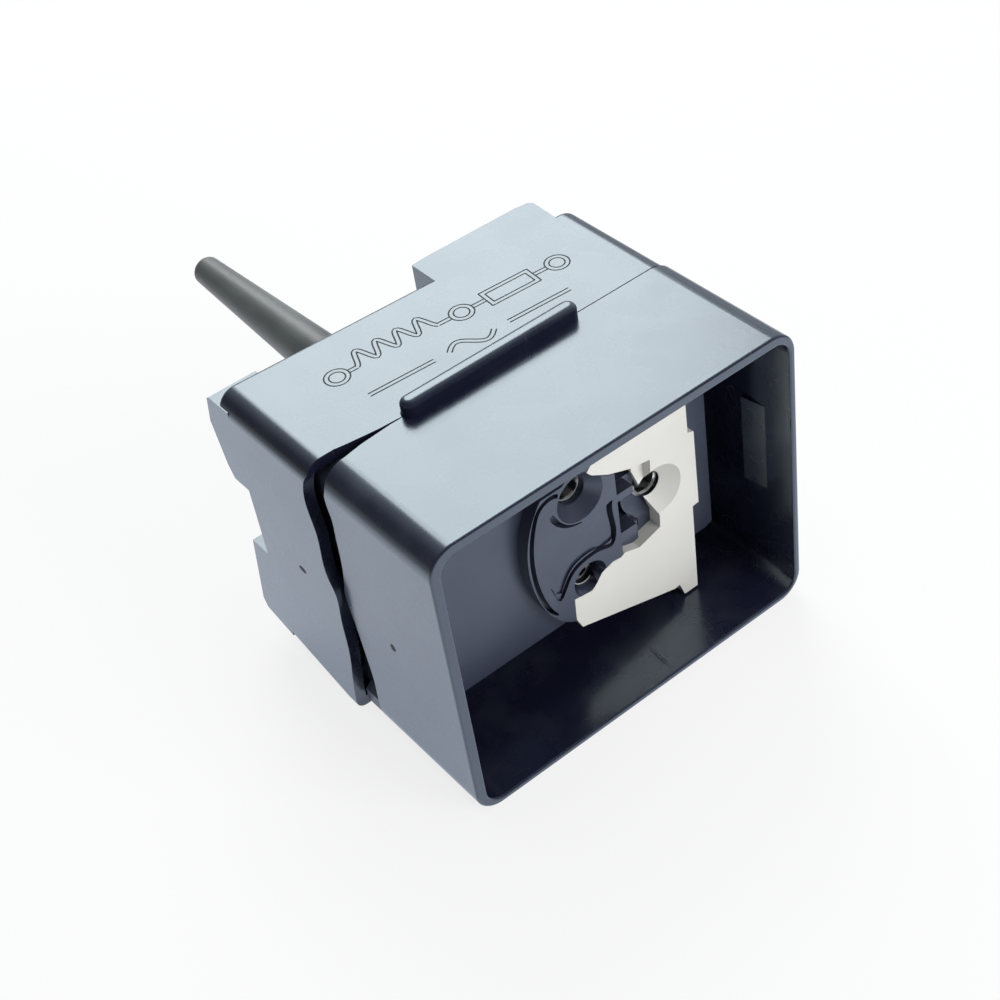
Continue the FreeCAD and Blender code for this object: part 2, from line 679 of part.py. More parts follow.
def carrier_sleeve(body):
    """Collar that bridges the two shells, with a corner block that fills the wide gap at the lower left."""
    gap = "sleeve_clearance"
    front = front_sketch(body, "sleeve_front", "flange_back")
    left = f"skirt_left + {gap}"
    right = f"cover_right - cover_wall - {gap}"
    bottom = f"cover_wall + {gap}"
    top = f"housing_height - cover_wall - {gap}"
    rounded_rectangle(front, left, right, bottom, top, "housing_corner - skirt_wall")
    rectangle(front, f"{left} + sleeve_wall", f"{right} - sleeve_wall", f"{bottom} + sleeve_wall",
              f"{top} - sleeve_wall")
    pad(body, "sleeve", front, "sleeve_reach - flange_back")
    front = front_sketch(body, "corner_block_front", "seam_reach - 0.55")
    outer = "cover_left + 1.25"
    middle = "cover_left + 2.25"
    inner = "cover_left + 3.55"
    polygon(front, [(outer, 1.6), (middle, 0.35), (inner, 0.35), (inner, 4.6), (middle, 4.6), (outer, 3.6)])
    corner = pad(body, "corner_block", front, 3.2)
    soft = edges_along(corner, ALONG_Y, lambda spot: spot.x < value(middle) + 0.1 and spot.z < 2)
    round_edges(body, "corner_block_round", corner, soft, 0.7)


def carrier_boss(body):
    """Raised boss round the common and the run socket."""
    front = front_sketch(body, "boss_front", "-face_reach", 0, "socket_height")
    arc = [(-5.3, 9.3), (-7.0, 6.5), (-7.9, 3.5), (-8.15, 0.2), (-7.75, -3.3), (-6.75, -6.6), (-5.0, -9.6),
           (-3.0, -11.3)]
    crown = [(-2.3, 9.35), (-0.6, 10.1), (1.6, 9.9), (3.4, 8.6), (4.4, 7.4)]
    smooth_outline(front, [arc, [arc[-1], (5.0, -11.3)], [(5.0, -11.3), (5.05, 7.2)], [(5.05, 7.2), crown[-1]],
                           crown[::-1], [crown[0], arc[0]]])
    pad(body, "boss", front, "face_reach + plate_set + 0.3")
    front = front_sketch(body, "ledges_front", "-face_reach", 0, "socket_height")
    rectangle(front, 4.8, 7.4, 2.2, 3.25)
    rectangle(front, 4.8, 7.4, -4.0, -2.7)
    pad(body, "ledges", front, "face_reach + plate_back")


def carrier_windows(body):
    """Dark window beside the start socket and the two slots for the white face's legs."""
    front = front_sketch(body, "window_front", "plate_set - 0.1", 0, "socket_height")
    polygon(front, [(5.25, 3.35), (9.0, 3.35), (9.0, 5.2), (5.25, 5.2)])
    polygon(front, [(5.25, -2.6), (9.0, -2.6), (9.0, 2.1), (5.25, 2.1)])
    polygon(front, [(5.25, -5.2), (9.0, -5.2), (9.0, -4.1), (5.25, -4.1)])
    pocket(body, "window", front, "plate_thickness + 0.2")
    front = front_sketch(body, "leg_slots_front", "plate_set - 0.1", 0, "socket_height")
    for z_low, z_high in LEG_ROWS:
        rectangle(front, f"{LEG_LEFT} - leg_clearance", f"{LEG_RIGHT} + leg_clearance",
                  f"{z_low} - leg_clearance", f"{z_high} + leg_clearance")
    pocket(body, "leg_slots", front, "plate_thickness + 0.2")


LEG_LEFT = 14.9
LEG_RIGHT = 16.5
LEG_ROWS = ((4.0, 7.0), (-7.0, -4.0))


def carrier_barrels(body):
    """Three tubes for the spring clips, with their lead-ins and the bed of the white face."""
    front = front_sketch(body, "barrels_front", "plate_back - 0.3")
    for across, height in PINS.values():
        circle(front, across, height, "clip_outer + barrel_wall")
    pad(body, "barrels", front, "barrel_end - plate_back + 0.3")
    front = front_sketch(body, "collar_front", "clip_set - 0.7")
    circle(front, "start_pin_x", "socket_height", "clip_outer + barrel_wall + 0.9")
    pad(body, "start_collar", front, "0.7 - clip_set + plate_back")
    front = front_sketch(body, "face_bed_front", "-face_reach - 1", 0, "socket_height")
    polygon(front, grown(face_outline(FACE_LEDGE[:2] + FACE_NOTCH[2:]), "fit_clearance"))
    pocket(body, "face_bed", front, "face_reach + 1 + plate_set")
    for name, (across, height) in PINS.items():
        front = front_sketch(body, f"{name}_way_front", -0.05)
        circle(front, across, height, "pin_radius + pin_lead")
        pocket(body, f"{name}_way", front, "barrel_end + 0.1")
        front = front_sketch(body, f"{name}_bore_front", "clip_set - clip_clearance")
        circle(front, across, height, "clip_outer + clip_clearance")
        pocket(body, f"{name}_bore", front, "barrel_end + 0.1")
    for name in ("common", "run"):
        across, height = PINS[name]
        funnel(body, f"{name}_funnel", across, height, "pin_radius + pin_lead", FUNNELS[name], -0.05,
               "face_reach - 0.04")
    funnel(body, "start_funnel", "start_pin_x", "socket_height", "clip_outer", 4.1, "clip_set - 0.02", 0.69)


def grown(corners, clearance):
    """The same outline moved outwards by a clearance, corner by corner."""
    spots = [FreeCAD.Vector(value(a), value(b), 0) for a, b in corners]
    wire = Part.makePolygon(spots + [spots[0]])
    wider = wire.makeOffset2D(value(clearance), join=2)
    if wider.Length < wire.Length:
        wider = wire.makeOffset2D(-value(clearance), join=2)
    return [(spot.Point.x, spot.Point.y) for spot in wider.OrderedVertexes]


def carrier_grooves(body):
    """Arc groove, angled groove with its soft shoulder, and crescent in the boss."""
    arc = [(-2.9, 8.5), (-4.4, 8.75), (-5.4, 8.3), (-6.6, 6.3), (-7.3, 3.6), (-7.55, 0.8), (-7.4, -2.2),
           (-6.8, -5.2), (-5.9, -7.5), (-5.1, -8.6)]
    bend = [(4.1, 3.0), (4.0, 0.2), (3.92, -2.7), (3.55, -3.3), (2.9, -3.25), (1.9, -2.92), (0.5, -2.85),
            (-1.0, -3.05), (-2.4, -3.7), (-3.45, -5.0), (-4.4, -6.5)]
    hook = [(-4.3, -6.62), (-4.8, -6.2), (-5.25, -5.2), (-5.65, -4.0)]
    crescent = [(-4.15, 6.2), (-3.8, 5.3), (-3.2, 4.35), (-2.3, 3.5), (-1.2, 2.95), (-0.2, 2.75)]
    shoulder = [(3.5, 2.9), (3.4, -0.2), (3.2, -2.3), (2.2, -2.25), (0.8, -1.95), (-0.9, -2.0), (-2.4, -2.5),
                (-3.7, -3.8), (-4.65, -5.5)]
    cuts = [("shoulder", shoulder, [0.9] * 9, "step_depth"),
            ("arc_groove", arc, [0.62] * 8 + [0.5, 0.25], "groove_depth"),
            ("angle_groove", bend, [0.62] * 11, "groove_depth"),
            ("hook", hook, [0.5, 0.4, 0.25, 0.15], "step_depth"),
            ("crescent", crescent, [0.5, 0.75, 0.6, 0.42, 0.28, 0.15], "groove_depth")]
    for name, points, widths, depth in cuts:
        front = front_sketch(body, f"{name}_front", "-face_reach - 0.5", 0, "socket_height")
        ribbon(front, points, widths)
        pocket(body, name, front, f"0.5 + {depth}")


def carrier_posts(body):
    """Posts that hold the protector and the relay at their depth."""
    front = front_sketch(body, "posts_front", "plate_back - 0.3")
    spots = [("-protector_x - 5.5", "socket_height - 5.5"), ("-protector_x - 5.5", "socket_height + 5.5"),
             ("start_pin_x + 5", "socket_height + 9"), ("start_pin_x + 5", "socket_height - 8.8")]
    for x_text, z_text in spots:
        circle(front, x_text, z_text, "rib_radius")
    pad(body, "posts", front, "module_front - plate_back + 0.3")


# Relay

def relay_face():
    """White front with the start pin's funnel, the arm, the rail and the foot."""
    body = new_body("relay_face")
    front = front_sketch(body, "face_front", "-face_reach", 0, "socket_height")
    polygon(front, face_outline(FACE_NOTCH))
    pad(body, "slab", front, "face_reach - 0.4")
    front = front_sketch(body, "ledge_front", -0.4, 0, "socket_height")
    polygon(front, face_outline(FACE_LEDGE[:2] + FACE_NOTCH[2:]))
    pad(body, "back_layer", front, "0.4 + plate_set")
    front = front_sketch(body, "legs_front", "plate_set - 0.2", 0, "socket_height")
    for z_low, z_high in LEG_ROWS:
        rectangle(front, LEG_LEFT, LEG_RIGHT, z_low, z_high)
    pad(body, "legs", front, "module_front - plate_set + 0.2")
    front = front_sketch(body, "pin_way_front", -0.3)
    circle(front, "start_pin_x", "socket_height", "pin_radius + 0.05")
    pocket(body, "pin_way", front, 1)
    funnel(body, "start_lead_in", "start_pin_x", "socket_height", "pin_radius + 0.05", FUNNELS["start"],
           "plate_set - 0.05", "face_reach + plate_set - 0.04")
    return body


def relay_case():
    """White cup for the resistor disc."""
    body = new_body("relay_case")
    turned(body, "cup", "start_pin_x", "socket_height",
           [("rivet_radius", "module_front"), ("relay_radius", "module_front"), ("relay_radius", "module_end"),
            ("relay_bore", "module_end"), ("relay_bore", "relay_floor"), ("rivet_radius", "relay_floor")])
    return body


def relay_lid():
    """Lid with a spigot that centres it in the cup."""
    body = new_body("relay_lid")
    turned(body, "lid", "start_pin_x", "socket_height",
           [("rivet_radius", "lid_inside"), ("relay_bore - fit_clearance", "lid_inside"),
            ("relay_bore - fit_clearance", "module_end"), ("relay_radius", "module_end"),
            ("relay_radius", "module_end + lid_thickness"), ("rivet_radius", "module_end + lid_thickness")])
    return body


SPRING_RISE = "(lid_inside - relay_floor - disc_thickness) / 2 - rivet_head"
DISC_FRONT = f"relay_floor + rivet_head + {SPRING_RISE}"


def ptc_disc():
    """Ceramic resistor disc."""
    body = new_body("ptc_disc")
    turned(body, "disc", "start_pin_x", "socket_height",
           [(0, DISC_FRONT), ("disc_radius - 0.3", DISC_FRONT), ("disc_radius", f"{DISC_FRONT} + 0.3"),
            ("disc_radius", f"{DISC_FRONT} + disc_thickness - 0.3"),
            ("disc_radius - 0.3", f"{DISC_FRONT} + disc_thickness"), (0, f"{DISC_FRONT} + disc_thickness")])
    return body


def contact_spring(name, seat, tip):
    """Bowed leaf spring: its middle lies on a rivet head and its ends press on the disc."""
    body = new_body(name)
    side = 1 if value(tip) > value(seat) else -1
    thick = f"{side} * spring_thickness"
    plan = plan_sketch(body, f"{name}_plan", "socket_height - spring_width / 2", "start_pin_x")
    polygon(plan, [(-6.5, tip), (-5.5, tip), (-2, f"{seat} + {thick}"), (2, f"{seat} + {thick}"), (5.5, tip),
                   (6.5, tip), (6.5, f"{tip} - {thick}"), (5.6, f"{tip} - {thick}"), (2.1, seat), (-2.1, seat),
                   (-5.6, f"{tip} - {thick}"), (-6.5, f"{tip} - {thick}")])
    pad(body, f"{name}_leaf", plan, "spring_width")
    return body


def through_rivet(name, across, height, start, end, front_radius, rear_radius, sunk=False):
    """Rivet with a head at each end of its grip. A sunk front head is flush with the strip."""
    body = new_body(name)
    front_head = [(0, f"{start} - rivet_head"), (front_radius, f"{start} - rivet_head"), (front_radius, start),
                  ("rivet_radius", start)]
    if sunk:
        front_head = [(0, start), (front_radius, start), ("rivet_radius", f"{start} + rivet_head")]
    turned(body, f"{name}_turned", across, height,
           front_head + [("rivet_radius", end), (rear_radius, end), (rear_radius, f"{end} + rivet_head"),
                         (0, f"{end} + rivet_head")])
    return body


# Spring clips

def socket_clip(name, across, height, angle):
    """Split spring sleeve that grips one pin."""
    body = new_body(name)
    turned(body, f"{name}_sleeve", across, height,
           [("pin_radius + 0.22", "clip_set"), ("clip_outer", "clip_set"), ("clip_outer", "clip_length"),
            ("pin_radius", "clip_length"), ("pin_radius", "clip_set + 0.25")])
    front = front_sketch(body, f"{name}_split_front", -0.5, across, height)
    turn = math.radians(angle)
    along = FreeCAD.Vector(math.cos(turn), math.sin(turn), 0)
    sideways = FreeCAD.Vector(-along.y, along.x, 0) * (value("clip_split") / 2)
    reach = along * (value("clip_outer") + 0.5)
    start = along * 0.2
    polygon(front, [(spot.x, spot.y) for spot in (start - sideways, reach - sideways, reach + sideways,
                                                  start + sideways)])
    pocket(body, f"{name}_split", front, "clip_length + 1")
    return body


# Overload protector

def protector_case():
    """Round cup of the protector."""
    body = new_body("protector_case")
    turned(body, "protector_cup", "-protector_x", "socket_height",
           [("rivet_radius", "module_front"), ("protector_radius", "module_front"),
            ("protector_radius", "module_end"), ("protector_bore", "module_end"),
            ("protector_bore", "protector_floor"), ("rivet_radius", "protector_floor")])
    return body


def protector_cover():
    """Cover of the protector, with holes for the two contact studs."""
    body = new_body("protector_cover")
    turned(body, "protector_lid", "-protector_x", "socket_height",
           [(0, "module_end - 1"), ("protector_bore - fit_clearance", "module_end - 1"),
            ("protector_bore - fit_clearance", "module_end"), ("protector_radius", "module_end"),
            ("protector_radius", "module_end + protector_wall + 0.2"), (0, "module_end + protector_wall + 0.2")])
    front = front_sketch(body, "stud_holes_front", "module_end - 2", "-protector_x", "socket_height")
    circle(front, 0, "contact_offset", "rivet_radius")
    circle(front, 0, "-contact_offset", "rivet_radius")
    pocket(body, "stud_holes", front, 5)
    return body


SNAP_LEVEL = "protector_floor + 3.8"
CONTACT_LEVEL = f"{SNAP_LEVEL} + 1"


def bimetal_disc():
    """Snap disc with a flat rim and a dished middle."""
    body = new_body("bimetal_disc")
    level = SNAP_LEVEL
    turned(body, "snap_disc", "-protector_x", "socket_height",
           [("rivet_radius", f"{level} - 0.8"), (2.5, f"{level} - 0.8"), (4.3, f"{level} - 0.3"),
            (7.6, f"{level} - 0.3"), (7.6, level), (4.2, level), (2.4, f"{level} - 0.5"),
            ("rivet_radius", f"{level} - 0.5")])
    return body


def heater_wire():
    """Open ring of heater wire on the floor of the cup."""
    body = new_body("heater_wire")
    sketch = plan_sketch(body, "heater_section", "socket_height", "-protector_x")
    circle(sketch, "heater_radius", "protector_floor + heater_wire", "heater_wire")
    feature = body.newObject("PartDesign::Revolution", "heater_ring")
    feature.Profile = sketch
    feature.ReferenceAxis = (sketch, ["V_Axis"])
    feature.Angle = 305
    finish(feature)
    return body


def moving_contact(name, sign):
    """Contact button on the snap disc."""
    body = new_body(name)
    turned(body, f"{name}_button", "-protector_x", f"socket_height + {sign} * contact_offset",
           [(0, SNAP_LEVEL), ("contact_radius", SNAP_LEVEL), ("contact_radius", f"{CONTACT_LEVEL} - 0.2"),
            ("contact_radius - 0.3", CONTACT_LEVEL), (0, CONTACT_LEVEL)])
    return body


def fixed_contact(name, sign, seat):
    """Contact stud through the cover, riveted over at its rear."""
    body = new_body(name)
    turned(body, f"{name}_stud", "-protector_x", f"socket_height + {sign} * contact_offset",
           [(0, CONTACT_LEVEL), ("contact_radius - 0.3", CONTACT_LEVEL), ("contact_radius", f"{CONTACT_LEVEL} + 0.2"),
            ("contact_radius", f"{CONTACT_LEVEL} + 0.8"), ("rivet_radius", f"{CONTACT_LEVEL} + 0.8"),
            ("rivet_radius", seat), ("contact_radius", seat), ("contact_radius", f"{seat} + rivet_head"),
            (0, f"{seat} + rivet_head")])
    return body


def calibration_screw():
    """Screw that holds the snap disc and sets its height."""
    body = new_body("calibration_screw")
    level = SNAP_LEVEL
    turned(body, "screw", "-protector_x", "socket_height",
           [(0, "strip_front - 0.7"), (2.1, "strip_front - 0.7"), (2.1, "strip_front"),
            ("rivet_radius", "strip_front"), ("rivet_radius", "protector_floor"), (1.7, "protector_floor"),
            (1.7, f"{level} - 0.8"), ("rivet_radius", f"{level} - 0.8"), ("rivet_radius", f"{level} - 0.5"),
            (1.7, f"{level} - 0.5"), (1.7, f"{level} + 0.3"), (0, f"{level} + 0.3")])
    front = front_sketch(body, "screw_slot_front", "strip_front - 1", "-protector_x", "socket_height")
    rectangle(front, -2.5, 2.5, -0.25, 0.25)
    pocket(body, "screw_slot", front, 0.6)
    return body


def protector_link():
    """Strip from the common clip to the calibration screw."""
    body = new_body("protector_link")
    front = front_sketch(body, "link_front", "strip_front", 0, "socket_height")
    polygon(front, [("-protector_x - 2.4", -1.6), ("-protector_x + 1.4", -2.4), ("-protector_x + 2.8", -1.2),
                    (1.6, "pin_rise - 2"), (2.2, "pin_rise + 1.4"), (-0.6, "pin_rise + 2.2"),
                    ("-protector_x - 2.2", 1.9)])
    pad(body, "link", front, "strip_thickness")
    front = front_sketch(body, "link_hole_front", "strip_front - 0.5")
    circle(front, "-protector_x", "socket_height", "rivet_radius")
    pocket(body, "link_hole", front, "strip_thickness + 1")
    return body


# Terminals

def tab_outline(sketch, start, low, high):
    """Blade outline with a bevelled lead-in end: depth and height."""
    polygon(sketch, [(start, low), ("tab_end - 1.2", low), ("tab_end", f"{low} + 1.2"),
                     ("tab_end", f"{high} - 1.2"), ("tab_end - 1.2", high), (start, high)])


def run_terminal():
    """Blade behind the run clip with a foot riveted to the relay's lid."""
    body = new_body("run_terminal")
    side = side_sketch(body, "run_side", "-strip_thickness / 2")
    level = "socket_height - pin_rise"
    tab_outline(side, "strip_front", f"{level} - tab_blade / 2", f"{level} + tab_blade / 2")
    pad(body, "run_blade", side, "strip_thickness")
    front = front_sketch(body, "run_foot_front", "module_end + lid_thickness", 0, "socket_height")
    polygon(front, [("-strip_thickness / 2", "-pin_rise - 2"), (2.5, "-pin_rise - 2"), (8, -2.5),
                    ("start_pin_x + 2.4", -2.5), ("start_pin_x + 2.4", 2), (7.5, 2),
                    ("-strip_thickness / 2", "-pin_rise + 3.1")])
    pad(body, "run_foot", front, "strip_thickness")
    front = front_sketch(body, "run_hole_front", "module_end + lid_thickness - 0.5")
    circle(front, "start_pin_x", "socket_height", "rivet_radius")
    pocket(body, "run_hole", front, "strip_thickness + 1")
    side = side_sketch(body, "run_tab_hole_side", "-strip_thickness")
    circle(side, "tab_end - 4", level, 0.85)
    pocket(body, "run_tab_hole", side, "strip_thickness * 2", backwards=True)
    return body


def line_terminal():
    """Blade for the line lead with a foot held by the upper contact stud."""
    body = new_body("line_terminal")
    side = side_sketch(body, "line_side", "-line_x - strip_thickness / 2")
    seat = "module_end + protector_wall + 0.2"
    tab_outline(side, seat, "socket_height - tab_blade / 2", "socket_height + tab_blade / 2")
    pad(body, "line_blade", side, "strip_thickness")
    front = front_sketch(body, "line_foot_front", seat, 0, "socket_height")
    edge = "-line_x - strip_thickness / 2"
    polygon(front, [(edge, "-tab_blade / 2"), ("-line_x + 2.4", "-tab_blade / 2"), ("-line_x + 2.6", 2),
                    ("-protector_x + 2", "contact_offset - 2"), ("-protector_x + 2", "contact_offset + 2"),
                    ("-protector_x - 2", "contact_offset + 2"), (edge, "tab_blade / 2")])
    pad(body, "line_foot", front, "strip_thickness")
    front = front_sketch(body, "line_hole_front", "module_end")
    circle(front, "-protector_x", "socket_height + contact_offset", "rivet_radius")
    pocket(body, "line_hole", front, 4)
    side = side_sketch(body, "line_tab_hole_side", "-line_x - strip_thickness")
    circle(side, "tab_end - 4", "socket_height", 0.85)
    pocket(body, "line_tab_hole", side, "strip_thickness * 2", backwards=True)
    return body


def start_terminal():
    """Flat blade below the relay with an upright foot behind the start clip."""
    body = new_body("start_terminal")
    plan = plan_sketch(body, "start_plan", f"{START_BLADE} - strip_thickness / 2")
    low = "start_pin_x - tab_blade / 2"
    high = "start_pin_x + tab_blade / 2"
    polygon(plan, [(low, "strip_front"), (high, "strip_front"), (high, "tab_end - 1.2"),
                   (f"{high} - 1.2", "tab_end"), (f"{low} + 1.2", "tab_end"), (low, "tab_end - 1.2")])
    pad(body, "start_blade", plan, "strip_thickness")
    front = front_sketch(body, "start_foot_front", "strip_front")
    rectangle(front, low, high, f"{START_BLADE} - strip_thickness / 2", "socket_height + 2.4")
    pad(body, "start_foot", front, "strip_thickness")
    front = front_sketch(body, "start_hole_front", "strip_front - 0.5")
    circle(front, "start_pin_x", "socket_height", "rivet_radius")
    pocket(body, "start_hole", front, "strip_thickness + 1")
    funnel(body, "start_countersink", "start_pin_x", "socket_height", "rivet_radius", f"{SUNK_HEAD} + 0.05",
           "strip_front + rivet_head", "rivet_head + 0.04")
    plan = plan_sketch(body, "start_tab_hole_plan", "socket_height - relay_radius + 1")
    circle(plan, "start_pin_x", "tab_end - 4", 0.85)
    pocket(body, "start_tab_hole", plan, 4)
    return body


# Stem

def rear_stem():
    """Tapered stem that stands out of the rear wall, held by a head inside the cover."""
    body = new_body("rear_stem")
    seat = "stem_seat"
    stem = turned(body, "stem", "-stem_x", "stem_z",
                  [(0, f"{seat} - stem_head_thickness"), ("stem_head", f"{seat} - stem_head_thickness"),
                   ("stem_head", seat), ("stem_root", seat), ("stem_root", "rear_wall_left - 0.5"),
                   ("stem_tip", "stem_end"), (0, "stem_end")])
    end = value("stem_end")
    rim = [f"Edge{i}" for i, edge in enumerate(stem.Shape.Edges, 1)
           if edge.BoundBox.YMin > end - 0.01 and edge.BoundBox.XLength > value("stem_tip")]
    round_edges(body, "stem_end_round", stem, rim, 0.6)
    return body


def build():
    """Every piece of the relay, from the outside in."""
    spring_seat = "relay_floor + rivet_head"
    rear_seat = "lid_inside - rivet_head"
    pieces = [front_housing(), rear_cover(), socket_carrier(), relay_face(), rear_stem()]
    splits = {"common": -35, "run": -60, "start": 152}
    for name, (across, height) in PINS.items():
        pieces.append(socket_clip(f"{name}_socket_clip", across, height, splits[name]))
    pieces += [relay_case(), relay_lid(), ptc_disc()]
    pieces.append(contact_spring("start_contact_spring", spring_seat, DISC_FRONT))
    pieces.append(contact_spring("run_contact_spring", rear_seat, f"{DISC_FRONT} + disc_thickness"))
    pieces.append(through_rivet("start_rivet", "start_pin_x", "socket_height", "strip_front", "relay_floor",
                                SUNK_HEAD, 1.8, sunk=True))
    pieces.append(through_rivet("run_rivet", "start_pin_x", "socket_height", "lid_inside",
                                "module_end + lid_thickness + strip_thickness", 1.8, 1.6))
    pieces += [protector_case(), protector_cover(), bimetal_disc(), heater_wire(), calibration_screw()]
    pieces += [moving_contact("upper_moving_contact", 1), moving_contact("lower_moving_contact", -1)]
    cover_back = "module_end + protector_wall + 0.2"
    pieces.append(fixed_contact("upper_fixed_contact", 1, f"{cover_back} + strip_thickness"))
    pieces.append(fixed_contact("lower_fixed_contact", -1, cover_back))
    pieces += [protector_link(), line_terminal(), run_terminal(), start_terminal()]
    return pieces


def export(pieces):
    """Check every object, then write one file for each piece."""
    doc.recompute()
    for item in doc.Objects:
        if "Invalid" in item.State or "Error" in item.State:
            raise RuntimeError(f"{item.Name}: {item.State}")
    for piece in pieces:
        if piece.Shape.isNull() or not piece.Shape.isValid() or not piece.Shape.Solids:
            raise RuntimeError(f"{piece.Label} has no sound solid")
    for piece in pieces:
        piece.Placement = FreeCAD.Placement(FreeCAD.Vector(0, 0, 0), FreeCAD.Rotation())
        piece.Shape.exportStep(f"parts/{piece.Label}.step")


export(build())
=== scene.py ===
"""Looks of a compressor start relay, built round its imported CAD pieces. All sizes are in metres."""

import logging
import math
import random
from dataclasses import dataclass
from enum import Enum

import bmesh
import bpy
from mathutils import Euler, Matrix, Vector


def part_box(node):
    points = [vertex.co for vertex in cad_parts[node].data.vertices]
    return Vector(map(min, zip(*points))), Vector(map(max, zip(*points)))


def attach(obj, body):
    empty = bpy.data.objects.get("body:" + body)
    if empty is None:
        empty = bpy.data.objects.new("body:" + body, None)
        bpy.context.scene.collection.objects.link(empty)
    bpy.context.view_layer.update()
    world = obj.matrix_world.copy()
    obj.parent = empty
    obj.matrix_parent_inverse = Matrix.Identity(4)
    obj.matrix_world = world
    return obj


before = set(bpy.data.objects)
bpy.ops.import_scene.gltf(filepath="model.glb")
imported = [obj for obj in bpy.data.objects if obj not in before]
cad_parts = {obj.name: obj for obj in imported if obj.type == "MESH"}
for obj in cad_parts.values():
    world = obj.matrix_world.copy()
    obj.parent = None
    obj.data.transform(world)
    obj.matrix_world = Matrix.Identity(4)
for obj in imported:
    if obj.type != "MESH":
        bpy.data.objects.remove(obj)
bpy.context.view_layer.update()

LOG = logging.getLogger("start_relay")
MM = 0.001
SEED = 7

Colour = tuple[float, float, float]
Point = tuple[float, float, float]


class Slot(Enum):
    """Material slots of the record."""

    HOUSING = "housing_plastic"
    CARRIER = "carrier_plastic"
    FACE = "face_plastic"
    STEM = "stem_rubber"
    CLIP = "clip_metal"
    TAB = "tab_brass"
    DISC = "disc_ceramic"
    CUP = "cup_phenolic"
    SNAP = "snap_metal"
    CONTACT = "contact_silver"


class Value:
    """A number that changes over a surface. Sums with it add Math nodes."""

    def __init__(self, tree: "Tree", socket: bpy.types.NodeSocket) -> None:
        """Keep the tree and the output socket."""
        self.tree = tree
        self.socket = socket

    def _math(self, operation: str, first: "Value | float", second: "Value | float") -> "Value":
        """Return the result of one Math node."""
        return self.tree.node("ShaderNodeMath", {"operation": operation}, {0: first, 1: second})

    def __add__(self, other: "Value | float") -> "Value":
        """Return self + other."""
        return self._math("ADD", self, other)

    __radd__ = __add__

    def __mul__(self, other: "Value | float") -> "Value":
        """Return self * other."""
        return self._math("MULTIPLY", self, other)

    __rmul__ = __mul__

    def __sub__(self, other: "Value | float") -> "Value":
        """Return self - other."""
        return self._math("SUBTRACT", self, other)

    def __rsub__(self, other: "Value | float") -> "Value":
        """Return other - self."""
        return self._math("SUBTRACT", other, self)

    def __or__(self, other: "Value | float") -> "Value":
        """Return the larger of the two, which joins two masks."""
        return self._math("MAXIMUM", self, other)

    def __abs__(self) -> "Value":
        """Return the value without its sign."""
        return self._math("ABSOLUTE", self, 0.0)

    def step(self, low: float, high: float) -> "Value":
        """Make a mask with a smooth edge.

        Args:
            low: value at which the mask is 0.
            high: value at which it is 1. With high under low, the mask falls.

        Returns:
            The mask.
        """
        ends = {"From Min": low, "From Max": high}
        if high < low:
            ends = {"From Min": high, "From Max": low, "To Min": 1.0, "To Max": 0.0}
        return self.tree.node("ShaderNodeMapRange", {"interpolation_type": "SMOOTHSTEP"}, {"Value": self, **ends})


